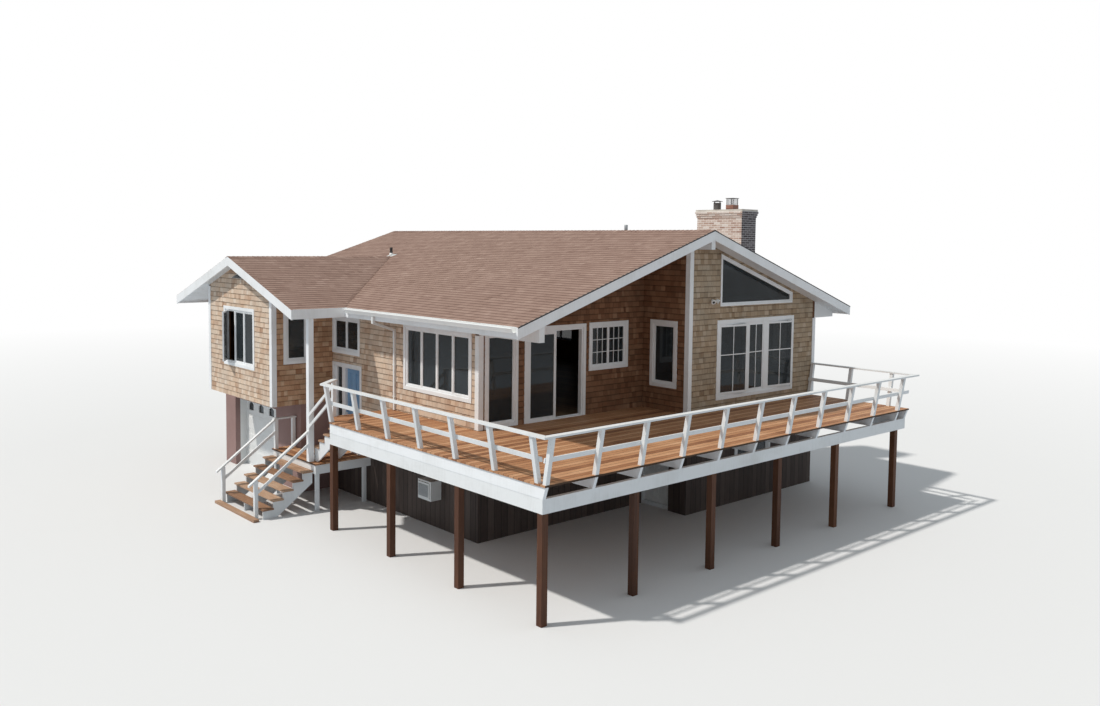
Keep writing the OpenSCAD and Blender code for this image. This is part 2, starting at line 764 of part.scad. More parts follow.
// One sash hinged on its left edge at the origin, with an upright and a cross bar in front of its glass
module sash(w, h) {
    bar = 10 - seat_gap - 2;
    difference() {
        cube([w, glass_t + 20, h]);
        translate([sash_w, -e, sash_w]) cube([w - 2 * sash_w, glass_t + 20 + 2 * e, h - 2 * sash_w]);
    }
    translate([w / 2 - 12, 2, sash_w - e]) cube([24, bar, h - 2 * sash_w + 2 * e]);
    translate([sash_w - e, 2, 0.56 * h]) cube([w - 2 * sash_w + 2 * e, bar, 24]);
}

module sash_glass(w, h) {
    translate([sash_w, 10, sash_w]) cube([w - 2 * sash_w, glass_t, h - 2 * sash_w]);
}

// Room between an opening sash and its frame
sash_gap = 3;
// Hinge blocks between the jambs and the open sashes
module sash_hinges() {
    w = casement_window;
    for (i = [0, 2], v = [150, w[3] - w[2] - 230])
        translate([casement_fields()[i][0] - 10, 2, w[2] + v]) cube([30, 20, 80]);
}

// Places each casement, the outer two swung open on their left edge
module each_casement() {
    w = casement_window;
    h = w[3] - w[2] - 2 * frame_w;
    for (i = [0 : 2]) {
        f = casement_fields()[i];
        gap = i == 1 ? 0 : sash_gap;
        translate([f[0] + gap, i == 1 ? 8 : 2, w[2] + frame_w + gap]) rotate([0, 0, i == 1 ? 0 : -casement_open]) {
            $sash = [f[1] - 2 * gap, h - 2 * gap];
            children();
        }
    }
}

// Places the sash in the left field of the wing window, swung open
module wing_casement() {
    w = wing_windows[0];
    on_left(-wing_x) translate([w[0] + frame_w, 2, w[2] + frame_w]) {
        $sash = [pane_w(w) - 2 * sash_gap, w[3] - w[2] - 2 * (frame_w + sash_gap)];
        translate([sash_gap, 0, sash_gap]) rotate([0, 0, -wing_open]) children();
    }
}

module casements() {
    w = wing_windows[0];
    color("white") {
        on_front(front_y) {
            each_casement() sash($sash[0], $sash[1]);
            casement_frame();
            sash_hinges();
            casing(casement_window);
        }
        wing_casement() sash($sash[0], $sash[1]);
        on_left(-wing_x) for (v = [100, w[3] - w[2] - 180])
            translate([w[0] + frame_w, 2, w[2] + v]) cube([20, 20, 80]);
    }
}

module window_frames() {
    color("white") {
        on_left(-left_wall_x) for (w = concat(left_windows, entry_windows)) frame(w);
        on_front(porch_y) for (w = [porch_light, kitchen_window]) frame(w);
        on_left(-room_side_x) for (w = side_windows) frame(w);
        on_left(-wing_x) for (w = wing_windows) frame(w);
        on_front(near_y) for (w = wing_side_windows) frame(w);
        on_right(right_wall_x) for (w = concat(right_windows, lower_right_windows)) frame(w);
        on_back(back_y) for (w = concat(back_windows, lower_back_windows)) frame(w);
        on_front(front_y) for (w = lower_front_windows) frame(w);
        along_y(front_y, front_y + frame_d) difference() {
            light_outline(0);
            light_outline(-frame_w);
        }
    }
}

module window_glass() {
    color("lightblue") {
        on_left(-left_wall_x) for (w = concat(left_windows, entry_windows)) panes(w);
        on_front(porch_y) for (w = [porch_light, kitchen_window]) panes(w);
        on_left(-room_side_x) for (w = side_windows) panes(w);
        on_left(-wing_x) for (w = wing_windows) panes(w, 1);
        wing_casement() sash_glass($sash[0], $sash[1]);
        on_front(front_y) each_casement() sash_glass($sash[0], $sash[1]);
        on_front(near_y) for (w = wing_side_windows) panes(w);
        on_right(right_wall_x) for (w = concat(right_windows, lower_right_windows)) panes(w);
        on_back(back_y) for (w = concat(back_windows, lower_back_windows)) panes(w);
        on_front(front_y) for (w = lower_front_windows) panes(w);
        y = front_y + (frame_d - glass_t) / 2;
        along_y(y, y + glass_t) light_outline(-frame_w);
        patio_pane(patio_x0 + frame_w, porch_y + 10, patio_sill, patio_w + leaf_gap, patio_h + 2 * leaf_gap);
        x = -left_wall_x + wall_t - door_frame_d + 40;
        span([x, sidelight_y, entry_sill + 60], [x + glass_t, sidelight_y + sidelight_w, entry_head - frame_w]);
    }
}

module window_casings() {
    color("white") {
        on_left(-left_wall_x) for (w = left_windows) casing(w);
        on_left(-left_wall_x) for (w = entry_windows) casing(w);
        on_front(porch_y) for (w = [porch_light, kitchen_window]) casing(w);
        on_left(-room_side_x) for (w = side_windows) casing(w);
        on_left(-wing_x) for (w = wing_windows) casing(w);
        on_front(near_y) for (w = wing_side_windows) casing(w);
        on_right(right_wall_x) for (w = concat(right_windows, lower_right_windows)) casing(w);
        on_back(back_y) for (w = concat(back_windows, lower_back_windows)) casing(w);
        on_front(front_y) for (w = lower_front_windows) casing(w);
        along_y(front_y - casing_t, front_y) difference() {
            light_outline(light_casing);
            light_outline(0);
        }
    }
}

// An upright corner board with a face on each wall, its outer edge at the origin
module corner(z0, z1, w) {
    translate([-casing_t, -casing_t, z0]) cube([w, casing_t, z1 - z0]);
    translate([-casing_t, -casing_t, z0]) cube([casing_t, w, z1 - z0]);
}

module corner_boards() {
    w = 140;
    z0 = deck_z + 10;
    top = roof_under(left_wall_x) - 60;
    color("white") {
        translate([-left_wall_x, porch_y, 0]) corner(z0, roof_under(left_wall_x) - porch_beam_d - 10, w);
        translate([-room_side_x, front_y, 0]) corner(z0, roof_under(room_side_x + casing_t) - 5, w);
        translate([right_wall_x, front_y, 0]) mirror([1, 0, 0]) corner(z0, soffit_z - 5, w);
        translate([right_wall_x, back_y, 0]) mirror([1, 0, 0]) mirror([0, 1, 0]) corner(lower_top, soffit_z - 5, w);
        translate([-left_wall_x, back_y, 0]) mirror([0, 1, 0]) corner(lower_top, top, w);
        translate([-wing_x, near_y, 0]) corner(wing_under, wing_below(near_y) - 40, w);
        translate([-wing_x, far_y, 0]) mirror([0, 1, 0]) corner(wing_under, wing_below(far_y) - 40, w);
    }
}

sidelight_y = entry_y0 + frame_w + entry_w + 2 * leaf_gap + entry_post_w;
module entry_frame() {
    x0 = -left_wall_x + wall_t - door_frame_d;
    x1 = -left_wall_x + wall_t;
    y0 = entry_y0;
    y1 = y0 + frame_w + entry_w + 2 * leaf_gap;
    color("white") {
        difference() {
            span([x0, y0, landing_z], [x1, near_y, entry_head]);
            span([x0 - e, y0 + frame_w, entry_sill], [x1 + e, y1, entry_head - frame_w]);
            span([x0 - e, sidelight_y, entry_sill + 60], [x1 + e, sidelight_y + sidelight_w, entry_head - frame_w]);
        }
        span([-left_wall_x - casing_t, y0 - casing_w, landing_z + 5], [-left_wall_x, y0, entry_head]);
        span([-left_wall_x - casing_t, near_y - casing_w, landing_z + 5], [x0, near_y, entry_head]);
        span([-left_wall_x - casing_t, y0 - casing_w, entry_head], [-left_wall_x, near_y, entry_head + casing_w]);
    }
    color("gray") translate([x1, y0 + frame_w + leaf_gap, entry_sill + leaf_gap]) frame_knuckles();
}

module patio_frame() {
    y1 = porch_y + door_frame_d;
    color("white") {
        difference() {
            span([patio_x0, porch_y, deck_z], [patio_x1, y1, patio_head]);
            span([patio_x0 + frame_w, porch_y - e, patio_sill], [patio_x1 - frame_w, y1 + e, patio_head - frame_w]);
        }
        difference() {
            span([patio_x0 - casing_w, porch_y - casing_t, deck_z + 8], [patio_x1 + casing_w, porch_y, patio_head + casing_w]);
            span([patio_x0, porch_y - casing_t - e, deck_z], [patio_x1, porch_y + e, patio_head]);
        }
        patio_leaf(patio_x0 + frame_w, porch_y + 10, patio_sill, patio_w + leaf_gap, patio_h + 2 * leaf_gap);
        yt = porch_y + 10 + patio_t + track_gap + patio_t / 2;
        span([patio_x0 + frame_w, yt - track_w / 2, patio_sill - e], [patio_x1 - frame_w, yt + track_w / 2, patio_sill + leaf_gap + track_h]);
    }
}

patio_stile = 75;
// The frame of a patio door leaf from its lower left corner
module patio_leaf(x, y, z, w, h) {
    s = patio_stile;
    translate([x, y, z]) difference() {
        cube([w, patio_t, h]);
        translate([s, -e, s]) cube([w - 2 * s, patio_t + 2 * e, h - 2 * s]);
    }
}

// The glass of the same leaf
module patio_pane(x, y, z, w, h) {
    s = patio_stile;
    translate([x + s, y + (patio_t - glass_t) / 2, z + s]) cube([w - 2 * s, glass_t, h - 2 * s]);
}

slider_x = patio_x0 + frame_w + leaf_gap;
slider_y = porch_y + 10 + patio_t + track_gap;
module slider_glass() {
    color("lightblue") patio_pane(slider_x, slider_y, patio_sill + leaf_gap, patio_w, patio_h);
}

module patio_slider() {
    color("white") {
        x = slider_x;
        y = slider_y;
        difference() {
            patio_leaf(x, y, patio_sill + leaf_gap, patio_w, patio_h);
            span([x - e, y + patio_t / 2 - track_w / 2 - track_play, patio_sill],
                [x + patio_w + e, y + patio_t / 2 + track_w / 2 + track_play, patio_sill + leaf_gap + track_h + track_play]);
        }
        translate([x + patio_w - 50, y + patio_t, patio_sill + 900]) cube([24, 12, 220]);
    }
}

module lower_door_frame() {
    x1 = -room_side_x + wall_t;
    x0 = x1 - door_frame_d;
    color("white") difference() {
        span([x0, lower_y0, 0], [x1, lower_y1, lower_head]);
        span([x0 - e, lower_y0 + frame_w, lower_sill], [x1 + e, lower_y1 - frame_w, lower_head - frame_w]);
    }
    color("gray") translate([x1, lower_y0 + frame_w + leaf_gap, lower_sill + leaf_gap]) frame_knuckles();
}

// A hinged leaf with sunk panels on its outer face, from its lower hinge corner along +Y
module panel_leaf(w, h, rows, columns) {
    rail = 110;
    pw = (w - rail * (columns + 1)) / columns;
    ph = (h - rail * (rows + 1)) / rows;
    difference() {
        cube([leaf_t, w, h]);
        for (i = [0 : columns - 1], j = [0 : rows - 1])
            translate([-e, rail + i * (pw + rail), rail + j * (ph + rail)]) cube([12 + e, pw, ph]);
    }
}

// A round handle on the free side of a leaf
module handle(w) {
    for (side = [-1, 1])
        translate([side < 0 ? 0 : leaf_t, w - 60, 950]) rotate([0, side * 90, 0]) {
            cylinder(h = 45, d = 22, $fn = 24);
            translate([0, 0, 45]) cylinder(h = 18, d = 56, $fn = 32);
        }
}

// Hinges of a door: the axis stands off the leaf's inner face and in the middle of the gap beside it
knuckle_r = 8;
pin_r = 4;
pin_gap = 0.05;
knuckle_h = 40;
knuckle_gap = 1;
hinge_leaf = 26;
hinge_plate = 4;
hinge_z = [220, 1010, 1800];

// The leaf's knuckles, from the leaf's lower hinge corner on its inner face
module door_knuckles() {
    for (z = hinge_z) translate([0, 0, z]) difference() {
        union() {
            translate([knuckle_r, -leaf_gap / 2, 0]) cylinder(h = knuckle_h, r = knuckle_r, $fn = 48);
            translate([0, -leaf_gap / 2, 0]) cube([hinge_plate, leaf_gap / 2 + hinge_leaf, knuckle_h]);
        }
        translate([knuckle_r, -leaf_gap / 2, -e]) cylinder(h = knuckle_h + 2 * e, r = pin_r + pin_gap, $fn = 48);
    }
}

// The frame's knuckles above and below each of them, with the pin
module frame_knuckles() {
    h = knuckle_h / 2;
    for (z = hinge_z) translate([0, 0, z]) {
        for (z1 = [-h - knuckle_gap, knuckle_h + knuckle_gap]) translate([0, 0, z1]) {
            translate([knuckle_r, -leaf_gap / 2, 0]) cylinder(h = h, r = knuckle_r, $fn = 48);
            translate([0, -leaf_gap - hinge_leaf, 0]) cube([hinge_plate, hinge_leaf + leaf_gap / 2, h]);
        }
        translate([knuckle_r, -leaf_gap / 2, -h]) cylinder(h = knuckle_h + 2 * h, r = pin_r, $fn = 48);
    }
}

module entry_door() {
    translate([-left_wall_x + wall_t - leaf_t, entry_y0 + frame_w + leaf_gap, entry_sill + leaf_gap]) {
        color("steelblue") panel_leaf(entry_w, entry_h, 3, 2);
        color("gray") handle(entry_w);
        color("gray") translate([leaf_t, 0, 0]) door_knuckles();
    }
}

module lower_door() {
    translate([-room_side_x + wall_t - leaf_t, lower_y0 + frame_w + leaf_gap, lower_sill + leaf_gap]) {
        color("white") panel_leaf(lower_w, lower_h, 2, 2);
        color("gray") handle(lower_w);
        color("gray") translate([leaf_t, 0, 0]) door_knuckles();
    }
}

module garage_door() {
    x = garage_x + garage_reveal;
    sections = 4;
    sh = garage_h / sections;
    lights = 4;
    lw = garage_w / lights;
    color("white") {
        difference() {
            span([x, garage_y0, 0], [x + 50, garage_y1, garage_h]);
            for (j = [1 : sections - 1]) span([x - e, garage_y0 - e, j * sh - 4], [x + 8, garage_y1 + e, j * sh + 4]);
            for (i = [0 : lights - 1])
                translate([x - e, garage_y0 + (i + 0.5) * lw, garage_h - sh / 2]) garage_light(38 + e);
        }
        for (y = [garage_y0 - 30, garage_y1])
            span([garage_x + wall_t, y, 0], [x + 50, y + 30, garage_h + 30]);
        span([garage_x + wall_t, garage_y0, garage_h], [x + 50, garage_y1, garage_h + 30]);
    }
}

// An arched light of the garage door, sunk along +X with its pane left at the back
module garage_light(d) {
    rotate([90, 0, 90]) linear_extrude(d) intersection() {
        translate([0, -115]) circle(r = 233, $fn = 96);
        translate([-165, -130]) square([330, 300]);
    }
}

// Deck boards in one rectangle of deck, laid from front to back, the last one cut to fit
module board_rows(x0, x1, y0, y1) {
    step = plank_w + plank_gap;
    for (y = [y0 : step : y1 - 30])
        span([x0, y, joist_top], [x1, min(y + plank_w, y1), deck_z]);
}

module deck_boards() {
    color("peru") {
        board_rows(deck_x0, deck_x1, deck_y0, front_y - board_gap);
        board_rows(deck_x0, -room_side_x - board_gap, front_y, porch_y - board_gap);
        board_rows(deck_x0, -left_wall_x - board_gap, porch_y, deck_y1);
        intersection() {
            board_rows(deck_x0, -left_wall_x - board_gap, deck_y1 + plank_gap, head_y);
            linear_extrude(ridge_z) polygon([[deck_x0, deck_y1], [head_x, head_y], [0, head_y], [0, deck_y1]]);
        }
    }
}

// Centre of a front joist and of the rail post above it
function joist_x(i) = deck_x0 + joist_in + i * front_gap;
// Where a joist that starts at the front ends: at the wall behind it, or at the back of the side deck
function joist_end(x) = x < -left_wall_x - joist_t ? deck_y1 - 40 : x < -room_side_x ? porch_y : front_y;

module deck_joists() {
    color("white") {
        for (x = concat([for (i = [0 : front_rail_posts - 1]) joist_x(i)], [deck_x1 - joist_in]))
            along_x(x - joist_t / 2, x + joist_t / 2) polygon([
                [deck_y0 + 15, joist_top], [deck_y0 + beam_back, beam_top],
                [joist_end(x), beam_top], [joist_end(x), joist_top]
            ]);
        span([deck_x0 + rim_in, deck_y1 - 38, beam_top], [head_x, deck_y1, joist_top]);
        translate([0, 0, beam_top]) linear_extrude(joist_d) polygon([[deck_x0 + rim_in, deck_y1 - e],
            [head_x + 20, head_y - nosing], [head_x + 20 + joist_t, head_y - nosing], [deck_x0 + rim_in + joist_t, deck_y1 - e]]);
        for (x = [head_x + 20, joist_x(1) - joist_t / 2, -left_wall_x - joist_t - 5])
            span([x, deck_y1 - 38, beam_top], [x + joist_t, head_y - nosing - 38 - joint, joist_top]);
        span([head_x + 20, head_y - nosing - 38, beam_top], [-left_wall_x, head_y - nosing, joist_top]);
    }
}

left_post_step = (deck_l - beam_back - deck_post) / (left_posts - 1);
module deck_beams() {
    y0 = deck_y0 + beam_back;
    x0 = deck_x0 + rim_in;
    x1 = deck_x1 - rim_in;
    color("white") {
        span([x0, y0, beam_z], [x1, y0 + beam_t, beam_top]);
        span([x0 + 6, y0 + beam_t + joint, beam_z], [x0 + beam_t, deck_y1, beam_top]);
        span([x1 - beam_t, y0 + beam_t + joint, beam_z], [x1, front_y, beam_top]);
        for (j = [1 : left_posts - 1])
            span([x0 + beam_t + joint, y0 + j * left_post_step + 25, beam_z],
                [-left_wall_x, y0 + j * left_post_step + 25 + beam_t, beam_top]);
    }
}

module deck_posts() {
    y0 = deck_y0 + beam_back;
    x0 = deck_x0 + rim_in;
    color("brown") {
        for (i = [0 : 4]) post_at(x0 + i * post_gap_x, y0);
        post_at(deck_x1 - end_post_in, y0);
        for (j = [1 : left_posts - 1]) post_at(x0, y0 + j * left_post_step);
    }
}

// A square post from the ground to the beams
module post_at(x, y) {
    span([x, y, 0], [x + deck_post, y + deck_post, beam_z]);
}

// Inset of a rail post foot from the deck edge
foot_in = 5;
post_h = rail_h - rail_t;
// Leaning post profile: u runs outwards from the deck edge, v is the height above the deck
module lean_profile() {
    polygon([[-foot_in - rail_post, 0], [-foot_in, 0], [rail_lean - foot_in, post_h], [rail_lean - foot_in - rail_post, post_h]]);
}

// Middle rail profile in the same frame, against the inner face of the posts
module mid_profile() {
    k = rail_lean / post_h;
    u = -foot_in - rail_post;
    polygon([[u + k * mid_rail_z, mid_rail_z], [u + k * (mid_rail_z + mid_rail_d), mid_rail_z + mid_rail_d],
        [u + k * (mid_rail_z + mid_rail_d) - rail_t, mid_rail_z + mid_rail_d], [u + k * mid_rail_z - rail_t, mid_rail_z]]);
}

// Sides of the deck: the profile's outward direction is turned to face each edge
module out_front(x0, x1) { translate([0, deck_y0, deck_z]) along_x(x0, x1) mirror([1, 0]) children(); }
module out_left(y0, y1) { translate([deck_x0, 0, deck_z]) along_y(y0, y1) mirror([1, 0]) children(); }
module out_right(y0, y1) { translate([deck_x1, 0, deck_z]) along_y(y0, y1) children(); }

left_rail_y0 = deck_y0 + 205;
left_rail_step = (deck_l - 205 - rail_post) / (left_rail_posts - 1);
rail_end_y = front_y - casing_t - 3;
right_rail_y = [deck_y0 + 525, deck_y0 + 1750, rail_end_y - rail_post];
module rail_posts() {
    color("white") {
        for (i = [0 : front_rail_posts - 1]) out_front(joist_x(i) - rail_post / 2, joist_x(i) + rail_post / 2) lean_profile();
        for (j = [0 : left_rail_posts - 1])
            out_left(left_rail_y0 + j * left_rail_step, left_rail_y0 + j * left_rail_step + rail_post) lean_profile();
        for (y = right_rail_y) out_right(y, y + rail_post) lean_profile();
        span([head_x, head_y - rail_post, deck_z], [head_x + rail_post, head_y, deck_z + post_h]);
    }
}

// The cap follows the edge of the deck and turns at its back corner towards the newel at the stair head
module cap_rails() {
    out = rail_lean - foot_in - rail_post / 2 + cap_w / 2;
    in = out - cap_w;
    m = joint;
    knee = [deck_x0 - out + cap_w / 2, deck_y1 + 85];
    newel = [head_x + rail_post / 2, head_y - rail_post / 2];
    turn = atan2(newel.x - knee.x, newel.y - knee.y);
    k = cap_w / 2 * tan(turn / 2);
    color("white") translate([0, 0, deck_z + post_h]) {
        linear_extrude(rail_t) {
            polygon([[deck_x0 - out + m, deck_y0 - out], [deck_x1 + out - m, deck_y0 - out],
                [deck_x1 + in - m, deck_y0 - in], [deck_x0 - in + m, deck_y0 - in]]);
            polygon([[deck_x0 - out, deck_y0 - out + m], [deck_x0 - in, deck_y0 - in + m],
                [deck_x0 - in, knee.y - k], [deck_x0 - out, knee.y + k]]);
            polygon([[deck_x1 + out, deck_y0 - out + m], [deck_x1 + in, deck_y0 - in + m],
                [deck_x1 + in, rail_end_y], [deck_x1 + out, rail_end_y]]);
            translate(knee) rotate(-turn) polygon([[-cap_w / 2, -k - e], [cap_w / 2, k - e],
                [cap_w / 2, norm(newel - knee) + cap_w / 2], [-cap_w / 2, norm(newel - knee) + cap_w / 2]]);
        }
    }
}

module middle_rails() {
    in = rail_post + foot_in;
    color("white") {
        out_front(deck_x0 + foot_in, deck_x1 - foot_in) mid_profile();
        out_left(deck_y0 + in + rail_t + 10, deck_y1 - 5) mid_profile();
        out_right(deck_y0 + in + rail_t + 10, rail_end_y) mid_profile();
    }
}

module deck_rails() {
    cap_rails();
    middle_rails();
}

module landing_boards() {
    top = landing_z - plank_t;
    step = plank_w + plank_gap;
    color("peru") for (x = [landing_x0 : step : -left_wall_x - 60]) {
        xr = min(x + plank_w, -left_wall_x - board_gap);
        span([x, landing_y0, top], [xr, xr < garage_x - casing_t ? flight_y1 : near_y - board_gap, landing_z]);
    }
}

module landing_frame() {
    top = landing_z - plank_t;
    z0 = top - landing_rim;
    x0 = landing_x0 + nosing;
    y0 = landing_y0 + nosing;
    y1 = flight_y1 - nosing;
    color("white") {
        span([x0, y0, z0], [x0 + stringer_t, y1, top]);
        span([x0, y0, z0], [-left_wall_x, y0 + stringer_t, top]);
        span([x0, y1 - stringer_t, z0], [garage_x, y1, top]);
        for (y = [0 : 500 : 1000]) span([x0, y, z0], [-left_wall_x, y + stringer_t, top]);
        for (p = [[x0 + stringer_t, y0 + stringer_t], [-left_wall_x - 200, y0 + stringer_t], [x0 + stringer_t, y1 - stringer_t - rail_post]])
            span([p.x, p.y, 0], [p.x + rail_post, p.y + rail_post, top]);
    }
}

// Leading edge of a tread of the lower flight, and its height
function low_x(k) = landing_x0 - (6 - k) * run;
function low_z(k) = foot_z + k * riser;
// Leading edge of a tread of the upper flight, and its height
function up_y(k) = head_y + (7 - k) * run;
function up_z(k) = landing_z + k * riser;

module stair_treads() {
    b = tread_board;
    color("peru") {
        span([low_x(0), flight_y0 - 40, 0], [low_x(0) + b, flight_y1, foot_z]);
        for (k = [1 : 5], i = [0, 1])
            span([low_x(k) + i * (b + 7), flight_y0, low_z(k) - plank_t], [low_x(k) + i * (b + 7) + b, flight_y1, low_z(k)]);
        for (k = [1 : 6], i = [0, 1])
            span([upper_x0, up_y(k) - i * (b + 7), up_z(k) - plank_t],
                [upper_x0 + upper_w, up_y(k) - i * (b + 7) - b, up_z(k)]);
    }
}

// Saw-tooth stringer: u runs in the direction of climb from the first leading edge, v is the height above the foot
module stringer(treads, foot, depth) {
    steps = [for (k = [1 : treads], s = [0, 1]) [(k - 1 + s) * run + nosing, k * riser - plank_t]];
    last = treads * run + nosing;
    low = treads * riser - plank_t - depth;
    polygon(concat([[nosing, foot]], steps, [[last, low], [last - (low - foot) * run / riser, foot]]));
}

module stair_stringers() {
    t = stringer_t;
    color("white") {
        for (y = [flight_y0 + 60, (flight_y0 + flight_y1 - t) / 2, flight_y1 - 60 - t])
            translate([low_x(1), 0, foot_z]) along_y(y, y + t) stringer(5, -foot_z, 290);
        for (x = [upper_x0 + 30, upper_x0 + (upper_w - t) / 2, upper_x0 + upper_w - 30 - t])
            translate([0, up_y(1), landing_z]) along_x(x, x + t) mirror([1, 0]) stringer(6, 0, 290);
    }
}

// A sloping rail profile between two stations of a flight, drawn along the climb
module slope_rail(u0, u1, v, d) {
    polygon([[u0, v + u0 * riser / run], [u1, v + u1 * riser / run], [u1, v + u1 * riser / run - d], [u0, v + u0 * riser / run - d]]);
}

module stair_rails() {
    p = rail_post;
    near = wing_y0 + 20;
    far = flight_y1 - 165;
    foot_x = low_x(0) + tread_board;
    drop = handrail_h - 350;
    span_low = landing_x0 - low_x(1);
    color("white") {
        for (y = [near, far]) {
            span([foot_x, y, 0], [foot_x + p, y + p, foot_z + riser + handrail_h - 110]);
            end = y == near ? landing_x0 : landing_x0 + 25;
            translate([low_x(1), 0, low_z(1)]) along_y(y, y + p)
                slope_rail(foot_x - 140 - low_x(1), end - low_x(1), handrail_h, rail_t + 10);
            translate([low_x(1), 0, low_z(1)]) along_y(y + 25, y + 25 + rail_t)
                slope_rail(foot_x + p - low_x(1), end - low_x(1), handrail_h - 330, mid_rail_d);
        }
        span([landing_x0 + 25, far, landing_z], [landing_x0 + 25 + p, far + p, landing_z + handrail_h]);
        span([garage_x - p - 30, far, landing_z], [garage_x - 30, far + p, landing_z + handrail_h]);
        span([landing_x0 - 5, far - 20, landing_z + handrail_h], [garage_x - 5, far + p + 20, landing_z + handrail_h + rail_t]);
        u0 = up_y(1) - wing_y0;
        u1 = up_y(1) - head_y;
        translate([0, up_y(1), up_z(1)]) along_x(landing_x0, landing_x0 + rail_t) mirror([1, 0]) {
            slope_rail(u0, u1, handrail_h + 20, mid_rail_d);
            slope_rail(u0, u1, handrail_h - 280, mid_rail_d);
        }
    }
}

module eave_post() {
    color("white") under_wing_roof(landing_x0, landing_x0 + eave_post, wing_y0, wing_y0 + eave_post, landing_z);
}

// The room air conditioner through the lower wall
ac_y = -3700;
ac_z = 760;
module ac_body() {
    translate([-left_wall_x - 330, ac_y, ac_z]) cube([520, 450, 380]);
}

// The twin floodlight on the front wall
lamp_x = 624;
lamp_z = deck_z + 2842;
module wall_fittings() {
    color("gainsboro") ac_body();
    color("white") difference() {
        translate([-left_wall_x - 300, ac_y - 45, ac_z - 45]) cube([300, 540, 470]);
        ac_body();
    }
    color("white") along_x(-wing_x - 20, -wing_x) polygon([
        [wing_y - 450, wing_ridge_z - 610], [wing_y + 450, wing_ridge_z - 610], [wing_y, wing_ridge_z - 610 + 450 * slope]
    ]);
    color("white") translate([lamp_x, front_y, lamp_z]) rotate([90, 0, 0]) {
        cylinder(h = 30, d = 90, $fn = 32);
        translate([0, 0, 30]) cylinder(h = 70, d = 60, $fn = 32);
    }
}

ground_slab();
main_floor();
wing_floor();
foyer_floor();
lower_left_wall();
entry_base_wall();
lower_porch_wall();
lower_side_wall();
lower_door_header();
lower_front_wall();
lower_right_wall();
lower_back_wall();
garage_front_wall();
garage_side_walls();
left_wall();
entry_wall();
porch_wall();
porch_header();
room_side_wall();
front_wall();
right_wall();
back_wall();
wing_side_walls();
wing_gable_wall();
main_roof_left();
main_roof_right();
wing_roof();
roof_boards();
eave_soffit();
gutters();
roof_beams();
chimney();
chimney_cap();
roof_vents();
window_frames();
casements();
window_glass();
window_casings();
corner_boards();
entry_frame();
patio_frame();
lower_door_frame();
entry_door();
patio_slider();
slider_glass();
lower_door();
garage_door();
deck_boards();
deck_joists();
deck_beams();
deck_posts();
rail_posts();
deck_rails();
landing_boards();
landing_frame();
stair_treads();
stair_stringers();
stair_rails();
eave_post();
wall_fittings();
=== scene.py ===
# %% [markdown]
# # A shingled beach house on a raised deck
# The house has a low gable roof, a side wing over a garage door, a deck on posts and a brick chimney.
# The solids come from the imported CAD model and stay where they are. This lesson adds what is laid on
# them piece by piece (shingles, roof tabs, bricks, soffit boards, window bars) and gives every surface
# a procedural finish. All lengths are in metres, in the frame of the CAD model.

# %% Load the frame
import json
import math
import bpy
import numpy as np
from mathutils import Matrix, Vector


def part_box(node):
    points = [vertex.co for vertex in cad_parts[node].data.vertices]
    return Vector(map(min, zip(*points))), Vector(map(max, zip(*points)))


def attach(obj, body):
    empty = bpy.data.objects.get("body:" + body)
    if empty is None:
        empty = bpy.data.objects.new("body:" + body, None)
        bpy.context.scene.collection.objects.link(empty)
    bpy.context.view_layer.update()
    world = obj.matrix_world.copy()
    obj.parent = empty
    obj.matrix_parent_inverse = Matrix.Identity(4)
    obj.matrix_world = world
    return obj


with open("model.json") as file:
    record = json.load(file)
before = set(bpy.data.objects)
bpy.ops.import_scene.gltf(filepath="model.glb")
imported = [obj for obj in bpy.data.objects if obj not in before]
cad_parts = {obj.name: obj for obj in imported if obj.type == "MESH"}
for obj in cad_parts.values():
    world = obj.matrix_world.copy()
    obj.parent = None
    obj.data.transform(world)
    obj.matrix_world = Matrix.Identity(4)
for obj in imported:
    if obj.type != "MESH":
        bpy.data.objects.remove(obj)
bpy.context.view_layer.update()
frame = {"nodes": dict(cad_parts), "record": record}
nodes = frame["nodes"]
slot_of = {part["node"]: part["material_slot"] for part in frame["record"]["subparts"]}
print("solids from the CAD model:", len(nodes))

# %% [markdown]
# ## Camera
# The photograph was taken from a drone beside the front left corner, a little below the ridge.
# Its place and turn were solved from the corners of the house, so the camera is written as the
# point where it stands, its heading, its tilt and its roll. The lens shift only centres the frame.

# %% Place the camera
FRAME_W, FRAME_H = 1100, 706
FOCAL, CENTRE_X, CENTRE_Y = 955.92, 548.204, 306.712
STAND = Vector((-18.8088, -22.2540, 6.8743))
heading, tilt, roll = math.radians(41.664), math.radians(-3.797), math.radians(0.646)
forward = Vector((math.sin(heading) * math.cos(tilt), math.cos(heading) * math.cos(tilt), math.sin(tilt)))
level_right = Vector((math.cos(heading), -math.sin(heading), 0))
level_up = level_right.cross(forward)
cam_right = level_right * math.cos(roll) + level_up * math.sin(roll)
cam_up = level_up * math.cos(roll) - level_right * math.sin(roll)
camera = bpy.data.objects.new("camera", bpy.data.cameras.new("camera"))
bpy.context.scene.collection.objects.link(camera)
camera.matrix_world = Matrix.Translation(STAND) @ Matrix((cam_right, cam_up, -forward)).transposed().to_4x4()
camera.data.sensor_fit = "HORIZONTAL"
camera.data.sensor_width = 36
camera.data.lens = FOCAL / FRAME_W * 36
camera.data.shift_x = (FRAME_W / 2 - CENTRE_X) / FRAME_W
camera.data.shift_y = -(FRAME_H / 2 - CENTRE_Y) / FRAME_W
camera.data.clip_end = 400
bpy.context.scene.camera = camera
bpy.context.scene.view_settings.view_transform = "Standard"
print("camera at", [round(v, 2) for v in camera.matrix_world.translation])

